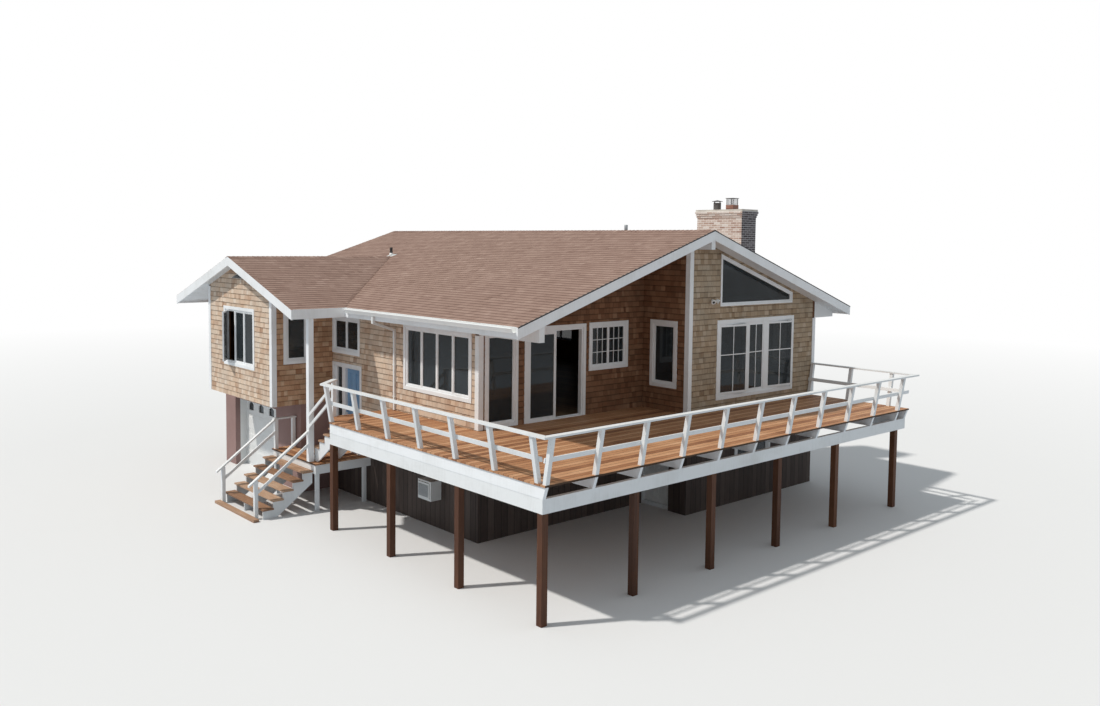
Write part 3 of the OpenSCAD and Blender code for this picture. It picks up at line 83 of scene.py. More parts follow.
# %% [markdown]
# ## Shader helper
# Every finish below is a small graph of Blender's texture nodes around one Principled BSDF. Building
# it by hand takes many lines, so a class holds the graph: each of its methods adds a node, fills its
# sockets with values or with other nodes' outputs, and gives back what comes out.

# %% Class that holds a node graph
class Graph:
    """A node tree that grows by one node per call."""

    def __init__(self, tree):
        self.tree = tree

    def put(self, kind, settings=None, **sockets):
        """Adds ShaderNode + kind. A key such as i0 is a socket by number, any other key is its name."""
        made = self.tree.nodes.new("ShaderNode" + kind)
        for key, value in (settings or {}).items():
            setattr(made, key, value)
        for key, value in sockets.items():
            socket = made.inputs[int(key[1:]) if key[0] == "i" and key[1:].isdigit() else key.replace("_", " ")]
            if isinstance(value, bpy.types.NodeSocket):
                self.tree.links.new(value, socket)
            else:
                socket.default_value = value
        return made

    def maths(self, operation, *values):
        """One arithmetic step between sockets or numbers."""
        return self.put("Math", {"operation": operation}, **{f"i{k}": v for k, v in enumerate(values)}).outputs[0]

    def plus(self, a, b):
        return self.maths("ADD", a, b)

    def minus(self, a, b):
        return self.maths("SUBTRACT", a, b)

    def times(self, a, b):
        return self.maths("MULTIPLY", a, b)

    def weighted(self, *pairs):
        """The sum of value times weight over the pairs."""
        total, *rest = (self.times(value, weight) for value, weight in pairs)
        for term in rest:
            total = self.plus(total, term)
        return total

    def ramp(self, factor, stops):
        """A colour ramp: stops is a list of (position, (r, g, b)), or of (position, grey)."""
        made = self.put("ValToRGB", Fac=factor)
        bands = made.color_ramp.elements
        while len(bands) < len(stops):
            bands.new(0.5)
        for band, (position, colour) in zip(bands, stops):
            band.position = position
            band.color = (*(colour if isinstance(colour, tuple) else (colour,) * 3), 1)
        return made.outputs["Color"]

    def blend(self, factor, a, b, mode="MIX"):
        """Mixes two colours, each a socket or (r, g, b)."""
        a, b = (c if isinstance(c, bpy.types.NodeSocket) else (*c, 1) for c in (a, b))
        return self.put("Mix", {"data_type": "RGBA", "blend_type": mode}, i0=factor, i6=a, i7=b).outputs[2]

    def spot(self):
        """Object coordinates, so that a pattern sits at its true size and place on the solid."""
        return self.put("TexCoord").outputs["Object"]

    def along(self, axis):
        """One Object coordinate: 0 is x, 1 is y, 2 is z."""
        return self.put("SeparateXYZ", Vector=self.spot()).outputs[axis]

    def zone(self, axis, low, high):
        """1 where the coordinate on an axis lies between low and high, else 0."""
        value = self.along(axis)
        return self.times(self.maths("GREATER_THAN", value, low), self.maths("LESS_THAN", value, high))

    def noise(self, scale, detail=3.0, roughness=0.55):
        """Noise from 0 to 1, with scale grains per metre: one number, or one for each axis."""
        scale = scale if isinstance(scale, tuple) else (scale,) * 3
        stretched = self.put("Mapping", Vector=self.spot(), Scale=scale).outputs["Vector"]
        return self.put("TexNoise", Vector=stretched, Scale=1.0, Detail=detail, Roughness=roughness).outputs["Fac"]

    def any_shade(self, number):
        """A random value for each whole number."""
        return self.put("TexWhiteNoise", {"noise_dimensions": "1D"}, W=number).outputs["Value"]

    def attribute(self, name):
        """A number that the mesh carries at its points."""
        return self.put("Attribute", {"attribute_name": name}).outputs["Fac"]


# %% Class that holds a finish
finishes = {}


class Finish(Graph):
    """A material round its Principled BSDF, kept in finishes under its name."""

    def __init__(self, name, roughness=0.6, specular=0.5):
        finishes[name] = self
        self.material = bpy.data.materials.new(name)
        self.material.use_nodes = True
        super().__init__(self.material.node_tree)
        self.shader = self.tree.nodes["Principled BSDF"]
        self.shader.inputs["Roughness"].default_value = roughness
        self.shader.inputs["Specular IOR Level"].default_value = specular

    def drive(self, name, output):
        """Lets an output set one of the shader's sockets."""
        self.tree.links.new(output, self.shader.inputs[name])

    def colour(self, output):
        self.drive("Base Color", output)

    def colour_now(self):
        return self.shader.inputs["Base Color"].links[0].from_socket

    def bump(self, height, distance, strength=0.6):
        """Turns a height pattern into small relief; distance is its depth in metres."""
        self.drive("Normal", self.put("Bump", Height=height, Distance=distance, Strength=strength).outputs["Normal"])


# %% [markdown]
# ## White paint
# Trim, fascia, rails and window frames are boards under white exterior paint. Fresh paint is never one
# even white: it takes a little dirt, and the brush leaves a faint texture. Two noises of different
# size give that, one slow one for dirt and one stretched one for brush marks.

# %% White paint and white metal
def paint_finish(name, clean, dirty, roughness, brush=60.0):
    """Paint whose colour drifts from clean to dirty, with brush marks as bump."""
    made = Finish(name, roughness)
    dirt, streak = made.noise((1.1, 1.1, 1.6), 6.0), made.noise((26, 26, 2.5), 4.0)
    made.colour(made.ramp(made.weighted((dirt, 0.75), (streak, 0.25)), [(0.48, clean), (0.85, dirty)]))
    made.bump(made.noise((brush, brush, brush * 0.4)), 0.0006, 0.35)
    return made


paint_finish("white_paint", (0.80, 0.81, 0.81), (0.62, 0.62, 0.60), 0.45)
paint_finish("white_metal", (0.80, 0.81, 0.80), (0.70, 0.70, 0.68), 0.32, 14.0)
paint_finish("white_door_paint", (0.80, 0.80, 0.78), (0.70, 0.69, 0.66), 0.40)
paint_finish("garage_door_paint", (0.80, 0.80, 0.78), (0.72, 0.71, 0.68), 0.38, 25.0)
paint_finish("fitting_paint", (0.78, 0.78, 0.76), (0.62, 0.62, 0.60), 0.42, 30.0)
# Painted light: a brighter white for the trim, standing in for stronger fill light on it.
paint_finish("trim_paint", (0.87, 0.88, 0.89), (0.68, 0.68, 0.66), 0.45)
paint_finish("blue_paint", (0.20, 0.36, 0.56), (0.15, 0.28, 0.45), 0.35)
print("painted finishes made")

# %% [markdown]
# ## Cedar shingles
# Each shingle is a split piece of cedar, so each has its own colour: honey where it is new, grey brown
# where sun and salt have bleached it, and red brown under the roof. The mesh carries one number per
# shingle, called tone, and the finish turns it into a colour. Fine streaks run down each shingle. A
# second number, climb, is 0 at the foot of a course and 1 at its head, where dirt and shade gather
# under the course above: there the colour falls off to a dark line.

# %% Cedar finish
def with_head_line(made, colour, start, dark):
    """The colour as it is up to start, then down to a dark line at the head of the course: painted shade under the
    course above, and dirt.
    """
    line = made.ramp(made.attribute("climb"), [(start, 1), (0.99, (dark, dark * 0.92, dark * 0.85))])
    made.colour(made.blend(1.0, colour, line, "MULTIPLY"))


def cedar_finish(name, stops, grey):
    """Cedar whose colour follows the tone attribute, streaked along the grain (Z)."""
    made = Finish(name, 0.85, 0.25)
    wobble = made.maths("MULTIPLY_ADD", made.noise((2.2, 2.2, 1.4), 4.0), 0.5, -0.25)
    colour = made.ramp(made.plus(made.attribute("tone"), wobble), stops)
    grain = made.noise((150, 150, 5), 5.0)
    streaked = made.blend(0.5, colour, made.ramp(grain, [(0.30, (0.50, 0.47, 0.45)), (0.62, 1)]), "MULTIPLY")
    patch = made.ramp(made.noise((1.7, 1.7, 2.6), 5.0), [(0.38, 0), (0.72, 1)])
    with_head_line(made, made.blend(made.times(patch, 0.5), streaked, grey), 0.74, 0.34)
    made.bump(grain, 0.0018, 0.8)
    return made


honey = [(0.02, (0.42, 0.255, 0.165)), (0.30, (0.60, 0.41, 0.285)), (0.62, (0.73, 0.55, 0.405)),
         (0.98, (0.81, 0.67, 0.54))]
honey_shaded = [(0.02, (0.27, 0.18, 0.11)), (0.30, (0.39, 0.28, 0.18)), (0.62, (0.49, 0.37, 0.255)),
        (0.98, (0.58, 0.46, 0.345))]
russet = [(0.02, (0.32, 0.145, 0.078)), (0.35, (0.51, 0.28, 0.16)), (0.70, (0.64, 0.39, 0.24)),
          (0.98, (0.74, 0.52, 0.35))]
walnut = [(0.02, (0.135, 0.056, 0.026)), (0.40, (0.225, 0.104, 0.053)), (0.75, (0.30, 0.153, 0.083)),
          (0.98, (0.375, 0.21, 0.125))]
cedar_finish("cedar_weathered", honey, (0.57, 0.51, 0.44))
# Painted shade: the front gable's finish is the weathered colours darkened to about two thirds.
cedar_finish("cedar_shaded", honey_shaded, (0.36, 0.325, 0.26))
cedar_finish("cedar_sheltered", russet, (0.30, 0.20, 0.12))
cedar_finish("cedar_recess", walnut, (0.17, 0.10, 0.06))
print("cedar finishes made")

# %% [markdown]
# ## Wood that is walked on, and the posts
# The deck is oiled boards, orange brown, each board a little different. The board's number is its
# place across the deck divided by the board spacing and cut to a whole number; white noise turns the
# number into a random shade, and what the cut leaves over shows where the dark line between two boards
# runs. The posts below are the same idea with boards so wide that no line shows: red brown stain.

# %% Deck boards and posts
BOARD_PITCH, RISER, FLOOR_PITCH = 0.147, 0.195, 0.083
FRONT_Y, PORCH_Y = -6.740, -5.186


def board_finish(name, across, along, starts, spacing, stops, roughness=0.6, gap=1.0):
    """Boards side by side along axis across, with grain stretched along axis along. Each value in
    starts begins a new run of boards, and gap is the shade of the line between two boards."""
    made = Finish(name, roughness, 0.3)
    place = made.along(across)
    run = made.minus(place, starts[0])
    for before, start in zip(starts, starts[1:]):
        run = made.minus(run, made.times(made.maths("GREATER_THAN", place, start), start - before))
    run = made.maths("DIVIDE", run, spacing)
    number = made.maths("FLOOR", run)
    off_centre = made.maths("ABSOLUTE", made.minus(made.minus(run, number), 0.5))
    grain = made.noise(tuple(2.2 if axis == along else 38.0 for axis in range(3)), 6.0, 0.62)
    wear = made.minus(made.noise(0.9, 4.0), 0.5)
    wood = made.ramp(made.weighted((made.any_shade(number), 0.4), (grain, 0.6), (wear, 0.5)), stops)
    made.colour(made.blend(1.0, wood, made.ramp(off_centre, [(0.450, 1), (0.488, gap)]), "MULTIPLY"))
    made.bump(grain, 0.0015)
    return made


oiled = [(0.16, (0.18, 0.073, 0.034)), (0.40, (0.37, 0.170, 0.080)), (0.62, (0.51, 0.27, 0.140)),
         (0.86, (0.68, 0.42, 0.25))]
walked = [(0.16, (0.19, 0.095, 0.055)), (0.40, (0.34, 0.195, 0.115)), (0.62, (0.45, 0.285, 0.185)),
          (0.86, (0.58, 0.42, 0.30))]
stained = [(0.10, (0.036, 0.013, 0.006)), (0.45, (0.085, 0.031, 0.013)), (0.90, (0.170, 0.068, 0.028))]
varnished = [(0.10, (0.20, 0.115, 0.06)), (0.50, (0.34, 0.21, 0.12)), (0.90, (0.45, 0.30, 0.18))]
deck_y0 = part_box("deck_boards")[0].y
landing_x0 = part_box("landing_boards")[0].x
board_finish("deck_wood", 1, 0, (deck_y0, FRONT_Y, PORCH_Y), BOARD_PITCH, oiled, gap=0.14)
board_finish("landing_wood", 0, 1, (landing_x0,), BOARD_PITCH, oiled, gap=0.14)
board_finish("tread_wood", 2, 1, (0.02,), RISER, walked)
board_finish("post_wood", 0, 2, (-20.0,), 0.35, stained, 0.55)
board_finish("floor_wood", 0, 1, (-20.0,), FLOOR_PITCH, varnished, 0.35, gap=0.4)
print("deck starts at y", round(deck_y0, 3), "and the landing at x", round(landing_x0, 3))

# %% [markdown]
# ## Dark boarded base, rendered garage pier, slab and mortar
# Below the deck the walls are dark upright boards. A groove every 0.2 m is a saw-tooth of x + y, which
# runs along a wall whichever way it faces. The garage pier is painted render, a fine grain on a mauve
# brown. Slab and mortar are cement: grey with slow stains. The front face of the chimney is turned
# from the lamp, so its mortar is painted greyer there: painted shade, like its darker bricks.

# %% Dark boards, render, cement
def groove_finish(name, stops, spacing, roughness=0.7):
    """Upright boards: a groove where x + y passes a whole number of spacings."""
    made = Finish(name, roughness, 0.3)
    run = made.maths("DIVIDE", made.plus(made.along(0), made.along(1)), spacing)
    part = made.maths("FRACT", made.plus(run, 1000.0))
    board = made.ramp(made.maths("ABSOLUTE", made.minus(part, 0.5)), [(0.455, 1), (0.485, 0)])
    grain = made.noise((40, 40, 2.0), 5.0)
    tone = made.weighted((made.any_shade(made.maths("FLOOR", run)), 0.4), (grain, 0.6))
    made.colour(made.blend(board, (0.012, 0.010, 0.009), made.ramp(tone, stops)))
    made.bump(made.plus(board, made.times(grain, 0.12)), 0.008, 0.8)
    return made


def cement_finish(name, stops, grit, depth):
    """Cement or render: slow stains in the colour and fine grit in the relief."""
    made = Finish(name, 0.9, 0.2)
    made.colour(made.ramp(made.weighted((made.noise(1.3, 7.0), 0.75), (made.noise(grit), 0.25)), stops))
    made.bump(made.noise(grit, 4.0), depth, 0.7)
    return made


# Near black colours for the upright boards below the deck.
near_black_stops = [(0.15, (0.045, 0.032, 0.027)), (0.55, (0.085, 0.062, 0.052)), (0.9, (0.13, 0.098, 0.082))]
mauve = [(0.25, (0.26, 0.165, 0.15)), (0.60, (0.33, 0.215, 0.195)), (0.85, (0.38, 0.26, 0.235))]
grey = [(0.25, (0.30, 0.29, 0.27)), (0.60, (0.42, 0.41, 0.39)), (0.85, (0.50, 0.49, 0.46))]
limed = [(0.25, (0.88, 0.85, 0.80)), (0.60, (0.94, 0.92, 0.88)), (0.85, (0.96, 0.94, 0.91))]
groove_finish("dark_boards", near_black_stops, 0.2)
cement_finish("garage_stucco", mauve, 55.0, 0.003)
cement_finish("concrete", grey, 30.0, 0.003)
mortar = cement_finish("mortar", limed, 70.0, 0.001)
CH_X0, CH_X1, CH_Y0, CH_Y1 = 5.330, 6.050, -4.070, -2.315
# Painted shade: on the chimney's front face, which is turned from the lamp, the mortar is tinted grey blue.
mortar_painted_shade = mortar.blend(mortar.zone(1, CH_Y0 - 0.230, CH_Y0 + 0.003), (1, 1, 1), (0.60, 0.62, 0.66))
mortar.colour(mortar.blend(1.0, mortar.colour_now(), mortar_painted_shade, "MULTIPLY"))
print("board, render and cement finishes made")

# %% [markdown]
# ## Roof granules, brick, metal and glass
# Laminated roof shingles are coated with crushed stone in several browns: one tone per tab from the
# mesh, and a very fine noise for the single grains. Bricks use the same tone with a pitted face. The
# glass is a near black, half clear sheet, painted shade of the empty, dark house behind it, and it stays smooth.

# %% Roof, brick, metal and glass
def toned_finish(name, stops, grit, depth, head=1.0):
    """Stone-like finish: the tone attribute picks the colour, fine grit darkens and roughens it."""
    made = Finish(name, 0.9, 0.2)
    slow = made.times(made.minus(made.noise(0.8, 5.0), 0.5), 0.5)
    colour = made.ramp(made.plus(made.attribute("tone"), slow), stops)
    grain = made.noise(grit, 2.0, 0.7)
    speckled = made.blend(1.0, colour, made.ramp(grain, [(0.34, 0.75), (0.62, 1)]), "MULTIPLY")
    # Where head is below 1, as on the roof, the head of each course darkens: painted shade under the course above, and
    # dirt.
    with_head_line(made, speckled, 0.76, head)
    made.bump(grain, depth, 0.7)
    return made


granules = [(0.03, (0.26, 0.163, 0.128)), (0.30, (0.315, 0.206, 0.166)), (0.62, (0.365, 0.246, 0.200)),
            (0.97, (0.44, 0.31, 0.256))]
fired = [(0.03, (0.42, 0.26, 0.21)), (0.35, (0.60, 0.43, 0.36)), (0.65, (0.74, 0.60, 0.52)),
         (0.97, (0.90, 0.82, 0.76))]
# Painted shade: the brick colours made darker and bluer, for the chimney's front face, which is turned from the lamp.
brick_shade_stops = [(0.03, (0.070, 0.060, 0.068)), (0.35, (0.115, 0.100, 0.108)), (0.65, (0.155, 0.138, 0.146)),
         (0.97, (0.24, 0.22, 0.23))]
toned_finish("roof_granules", granules, 210.0, 0.0008, 0.45)
toned_finish("brick_face", fired, 90.0, 0.002)
toned_finish("brick_sooty", brick_shade_stops, 90.0, 0.002)
paint_finish("black_metal", (0.030, 0.030, 0.032), (0.055, 0.050, 0.046), 0.55, 20.0)
zinc = paint_finish("galvanised", (0.42, 0.43, 0.44), (0.25, 0.24, 0.23), 0.42, 20.0)
zinc.shader.inputs["Metallic"].default_value = 0.8

# %% Crown, pot and flues
# The crown, the clay pot and the two flues are one solid, so their finish is split by place: the
# crown is the part below CROWN_Z, the pot the part from there to POT_Z on the near side of FLUE_Y
CROWN_Z, POT_Z, FLUE_Y = 7.996, 8.146, -3.12
flue_set = paint_finish("flue_set", (0.17, 0.155, 0.15), (0.10, 0.065, 0.045), 0.5, 20.0)
crown = flue_set.zone(2, 0.0, CROWN_Z)
clay = flue_set.times(flue_set.zone(2, CROWN_Z, POT_Z), flue_set.zone(1, -10.0, FLUE_Y))
stain = flue_set.noise((3, 3, 9), 5.0)
cream = flue_set.ramp(stain, [(0.30, (0.50, 0.46, 0.41)), (0.62, (0.74, 0.70, 0.63))])
terracotta = flue_set.ramp(stain, [(0.30, (0.17, 0.075, 0.055)), (0.62, (0.33, 0.155, 0.11))])
flue_set.colour(flue_set.blend(crown, flue_set.blend(clay, flue_set.colour_now(), terracotta), cream))
flue_set.drive("Metallic", flue_set.times(flue_set.minus(1.0, flue_set.plus(crown, clay)), 0.7))

# %% Garage door lights and window glass
# The arched lights of the garage door are recesses 38 mm deep, so what lies 30 to 45 mm behind the
# face of the leaf, which is at GARAGE_X, is given the look of glass, near black as painted shade of the dark garage
# behind
GARAGE_X = -6.330
door_paint = finishes["garage_door_paint"]
pane = door_paint.zone(0, GARAGE_X + 0.030, GARAGE_X + 0.045)
door_paint.colour(door_paint.blend(pane, door_paint.colour_now(), (0.020, 0.024, 0.026)))
door_paint.drive("Roughness", door_paint.put("MapRange", Value=pane, To_Min=0.38, To_Max=0.05).outputs["Result"])

# The glass is coloured near black: painted shade of the dark rooms behind it.
window_glass = Finish("window_glass", 0.03)
glass_shade_stops = [(0.3, (0.020, 0.026, 0.030)), (0.75, (0.040, 0.050, 0.056))]
window_glass.colour(window_glass.ramp(window_glass.noise((1.4, 1.4, 0.9)), glass_shade_stops))
window_glass.shader.inputs["Alpha"].default_value = 0.72
print("granules, brick, metal and glass made")

# %% [markdown]
# ## Finishes on the CAD solids
# Each solid keeps its mesh and gets the finish of its slot, most of which have the slot's own name: the
# table holds the others. The roof slabs and walls are seen only in the gaps between the pieces laid on
# them, from inside and from below. The trim round the windows and the roof gets a brighter white than
# other painted parts, painted light in place of stronger fill light, so those solids get a paint of their own.

# %% Give each solid its finish
finish_of_slot = {"cedar_shingles": "cedar_recess", "asphalt_shingles": "roof_granules", "brick": "mortar",
                  "flue_metal": "flue_set", "vent_metal": "black_metal", "glass": "window_glass"}
finish_of_node = {"landing_boards": "landing_wood", "stair_treads": "tread_wood"}
finish_of_node.update({node: "trim_paint" for node in (
    "roof_boards", "window_casings", "window_frames", "casements", "corner_boards", "deck_joists",
    "patio_frame", "entry_frame", "eave_post")})


def material_for(slot, finish=None):
    """The named finish, or else the one that belongs to the slot."""
    return finishes[finish or finish_of_slot.get(slot, slot)].material


for name, solid in nodes.items():
    solid.data.materials.clear()
    solid.data.materials.append(material_for(slot_of[name], finish_of_node.get(name)))
print("finishes given to", len(nodes), "solids")

# %% [markdown]
# ## Blocks: one helper for everything that is laid in rows
# Shingles, roof tabs, bricks, boards and bars are all small blocks with a back and a face. A block is
# four back corners and four face corners, so thousands of them are two arrays of corners, and one
# function turns such arrays into a single closed mesh without any loop over its points. A piece has
# the finish of its slot unless it is given another one.

# %% A piece from its points and faces
def add_piece(name, points, corners, starts, slot, finish, body, smooth=False):
    """A mesh from its points, the point numbers of all faces in one row, and each face's start in it."""
    mesh = bpy.data.meshes.new(name)
    mesh.vertices.add(len(points))
    mesh.vertices.foreach_set("co", points.astype(np.float32).ravel())
    mesh.loops.add(len(corners))
    mesh.loops.foreach_set("vertex_index", corners.astype(np.int32))
    mesh.polygons.add(len(starts))
    mesh.polygons.foreach_set("loop_start", starts.astype(np.int32))
    mesh.update(calc_edges=True)
    mesh.polygons.foreach_set("use_smooth", np.full(len(starts), smooth, bool))
    mesh.materials.append(material_for(slot, finish))
    piece = bpy.data.objects.new(name, mesh)
    bpy.context.scene.collection.objects.link(piece)
    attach(piece, body)
    return piece


# %% Blocks from their corners
BLOCK_FACES = np.array([[4, 5, 6, 7], [3, 2, 1, 0], [0, 1, 5, 4], [1, 2, 6, 5], [2, 3, 7, 6], [3, 0, 4, 7]])


def blocks(name, back, face, slot, finish=None, body="house", tone=None, climb=None):
    """back and face are (n, 4, 3) corners, counter-clockwise seen from outside. Block i uses points
    8 i to 8 i + 7, so its six faces are the table above plus 8 i, worked out for all i at once. The
    points carry a tone for each block and a climb for each of its four corners."""
    count = len(back)
    quads = (BLOCK_FACES[None] + 8 * np.arange(count)[:, None, None]).reshape(-1)
    piece = add_piece(name, np.concatenate([back, face], axis=1).reshape(-1, 3), quads,
                      np.arange(0, count * 24, 4), slot, finish, body)
    for label, values in (("tone", tone), ("climb", climb)):
        if values is not None:
            spread = np.broadcast_to(np.reshape(values, (count, 1, -1)), (count, 2, 4))
            piece.data.attributes.new(label, "FLOAT", "POINT").data.foreach_set(
                "value", spread.astype(np.float32).ravel())
    print(f"{name}: {count} blocks, {count * 12} triangles")
    return piece


# %% Blocks, plates and bars at their places
def on_plane(name, plane, u, v, near, far, slot, finish=None, body="house", rim=0.0, tone=None, climb=None):
    """Blocks on a plane: corner = origin + u along + v up + depth normal, with depth near at the back
    and far at the face, whose corners are drawn in by rim. Where along, up and normal are left-handed,
    the corners are taken the other way round."""
    origin, along, up, normal = (np.array(p, float) for p in plane)
    inward = rim * np.array([[1, -1, -1, 1], [1, 1, -1, -1]])

    def at(u, v, depth):
        return origin + u[..., None] * along + v[..., None] * up + np.asarray(depth, float)[..., None] * normal

    back, face = at(u, v, near), at(u + inward[0], v + inward[1], far)
    if np.dot(np.cross(along, up), normal) < 0:
        back, face = back[:, ::-1], face[:, ::-1]
        climb = None if climb is None else climb[:, ::-1]
    return blocks(name, back, face, slot, finish, body, tone, climb)


def plates(name, plane, rects, near, far, slot, finish=None, body="house", rim=0.0):
    """Slabs on a plane: each rectangle (u0, u1, v0, v1) is filled from depth near to depth far."""
    rects = np.asarray(rects, float)
    return on_plane(name, plane, rects[:, [0, 1, 1, 0]], rects[:, [2, 2, 3, 3]], near, far, slot, finish, body, rim)


def boxes(x, y, z):
    """Rows (x0, x1, y0, y1, z0, z1) from a low and a high side on each axis, numbers or arrays."""
    return np.stack([side.ravel() for side in np.broadcast_arrays(*x, *y, *z)], 1).astype(float)


def bars(name, rows, slot, finish=None):
    """Plain boxes from the rows of boxes()."""
    x0, x1, y0, y1, z0, z1 = rows.T
    ring = ((x0, y0), (x1, y0), (x1, y1), (x0, y1))
    low, high = (np.stack([np.stack([x, y, z], 1) for x, y in ring], 1) for z in (z0, z1))
    return blocks(name, low, high, slot, finish)


# %% [markdown]
# ## Laying rows on a plane
# Wall shingles, roof tabs and soffit boards are laid in the same way: in courses on a flat surface,
# each course made of pieces of random width, each piece thin at its top and thick at its butt, where
# it overlaps the course below. So one function lays them all. Openings are rectangles cut out of the
# rows; a line above, such as a gable, trims the top corners, and a line below, such as a valley, the
# lower ones. A plane is its origin, the direction of the rows, the direction of climb and its normal.

# %% Rows of tiles
rng = np.random.default_rng(2026)


def lay_rows(u0, u1, v0, v1, course, narrow, wide, gap):
    """Tiles as (u left, u right, v low, v high, butt height, course height): cumulative sums of
    random widths give the joints of every course, and tiles past the end are dropped."""
    rows = int(math.ceil((v1 - v0) / course - 1e-6))
    across = int(math.ceil((u1 - u0) / (0.5 * (narrow + wide)) * 1.3)) + 8
    joints = u0 - wide - rng.uniform(0, wide, (rows, 1)) + np.cumsum(rng.uniform(narrow, wide, (rows, across)), axis=1)
    left, right = joints[:, :-1], joints[:, 1:] - gap
    low = np.broadcast_to((v0 + course * np.arange(rows))[:, None], left.shape)
    tiles = np.stack([left, right, low, low + course, low, np.full_like(low, course)], -1).reshape(-1, 6)
    tiles[:, :2] = np.clip(tiles[:, :2], u0, u1)
    tiles[:, 3] = np.minimum(tiles[:, 3], v1)
    return tiles[(tiles[:, 1] - tiles[:, 0] > 0.012) & (tiles[:, 3] - tiles[:, 2] > 0.004)]


# %% Cuts through the rows
def cut_openings(tiles, openings):
    """Cuts rectangles (u0, u1, v0, v1) out of the tiles: what is left, right, below and above stays."""
    for a, b, c, d in openings:
        hit = (tiles[:, 1] > a) & (tiles[:, 0] < b) & (tiles[:, 3] > c) & (tiles[:, 2] < d)
        left, right, under, over = (tiles[hit] for _ in range(4))
        left[:, 1] = np.minimum(left[:, 1], a)
        right[:, 0] = np.maximum(right[:, 0], b)
        for middle in (under, over):
            middle[:, 0], middle[:, 1] = np.maximum(middle[:, 0], a), np.minimum(middle[:, 1], b)
        under[:, 3] = np.minimum(under[:, 3], c)
        over[:, 2] = np.maximum(over[:, 2], d)
        tiles = np.concatenate([tiles[~hit], left, right, under, over])
        tiles = tiles[(tiles[:, 1] - tiles[:, 0] > 0.010) & (tiles[:, 3] - tiles[:, 2] > 0.010)]
    return tiles


def tile_corners(tiles, top, floor):
    """Left and right heights of each tile's lower and upper corners. Where the line below crosses a
    tile's top, the tile is first shortened to the crossing, found by linear interpolation."""
    t = tiles.copy()
    f0, f1 = floor(t[:, 0]), floor(t[:, 1])
    steep = np.where(np.abs(f1 - f0) < 1e-9, 1e-9, f1 - f0)
    meet = t[:, 0] + (t[:, 3] - f0) / steep * (t[:, 1] - t[:, 0])
    t[:, 1] = np.where((f1 > t[:, 3]) & (f0 < t[:, 3]), meet, t[:, 1])
    t[:, 0] = np.where((f0 > t[:, 3]) & (f1 < t[:, 3]), meet, t[:, 0])
    low = np.stack([np.maximum(t[:, 2], floor(t[:, k])) for k in (0, 1)], 1)
    high = np.stack([np.minimum(t[:, 3], top(t[:, k])) for k in (0, 1)], 1)
    low = np.minimum(low, high)
    keep = ((high - low).sum(1) > 0.012) & (t[:, 1] - t[:, 0] > 0.006)
    return t[keep], low[keep], high[keep]


# %% Tiles laid on a plane
def level(height):
    """A roof or floor line at one height."""
    return lambda u: np.full_like(u, height)


def lay_tiles(name, plane, tiles, slot, finish, butt, thin, top=None, floor=None, light=0.5, spread=0.2, slip=0.0):
    """Wedges on a plane. Depth falls in a straight line from butt (a low and a high value, drawn at
    random for each tile) at the foot of its course to thin at the head. The foot slips up or down."""
    tiles, low, high = tile_corners(tiles, top or level(np.inf), floor or level(-np.inf))
    count = len(tiles)
    thick = rng.uniform(*butt, count)
    low = low + np.where(low == tiles[:, 2:3], rng.uniform(-slip, slip + 1e-9, (count, 1)), 0.0)
    v = np.stack([low[:, 0], low[:, 1], high[:, 1], high[:, 0]], 1)
    climb = np.clip((v - tiles[:, 4:5]) / tiles[:, 5:6], 0, 1)
    depth = thick[:, None] + (thin - thick[:, None]) * climb
    tone = np.clip(rng.normal(light, spread, count), 0.02, 0.98)
    return on_plane(name, plane, tiles[:, [0, 1, 1, 0]], v, 0.0, depth, slot, finish, tone=tone, climb=climb)


def wall_plane(axis, place_at, outward):
    """An upright plane at x or y = place_at: rows run along the other axis and v is the height."""
    if axis == "x":
        return (place_at, 0, 0), (0, 1, 0), (0, 0, 1), (outward, 0, 0)
    return (0, place_at, 0), (1, 0, 0), (0, 0, 1), (0, outward, 0)


# %% [markdown]
# ## The walls of this house
# The numbers are the wall planes and the windows of the CAD model. A window is a rectangle (from, to,
# sill, head) on its wall, its casing boards lie round it, and the corner boards are strips at the ends
# of the walls.

# %% Wall planes, windows and roof lines
PITCH = math.radians(18.4)
SIN, COS, SLOPE = math.sin(PITCH), math.cos(PITCH), math.tan(PITCH)
ROOF_T = 0.170 / COS
LEFT_X, RIGHT_X, ROOM_X, WING_X = -5.700, 5.330, -0.263, -7.500
BACK_Y, NEAR_Y, FAR_Y = 6.778, 1.460, 5.580
RIDGE_Z, EAVE_X, WING_Y, WING_EAVE = 7.240, 6.280, 3.520, 3.768
EAVE_Z = RIDGE_Z - EAVE_X * SLOPE
WING_RIDGE_Z = EAVE_Z + WING_EAVE * SLOPE
DECK_Z, LOW_TOP, WING_UNDER, SOFFIT_Z = 2.600, 2.320, 2.427, 4.810
CASING, CORNER, WALL_T, LEAF_T = 0.092, 0.120, 0.150, 0.044
WALLS = {
    "left": ("x", LEFT_X, -1), "right": ("x", RIGHT_X, 1), "room_side": ("x", ROOM_X, -1),
    "wing_gable": ("x", WING_X, -1), "front": ("y", FRONT_Y, -1), "porch": ("y", PORCH_Y, -1),
    "back": ("y", BACK_Y, 1), "wing_near": ("y", NEAR_Y, -1), "wing_far": ("y", FAR_Y, 1)}

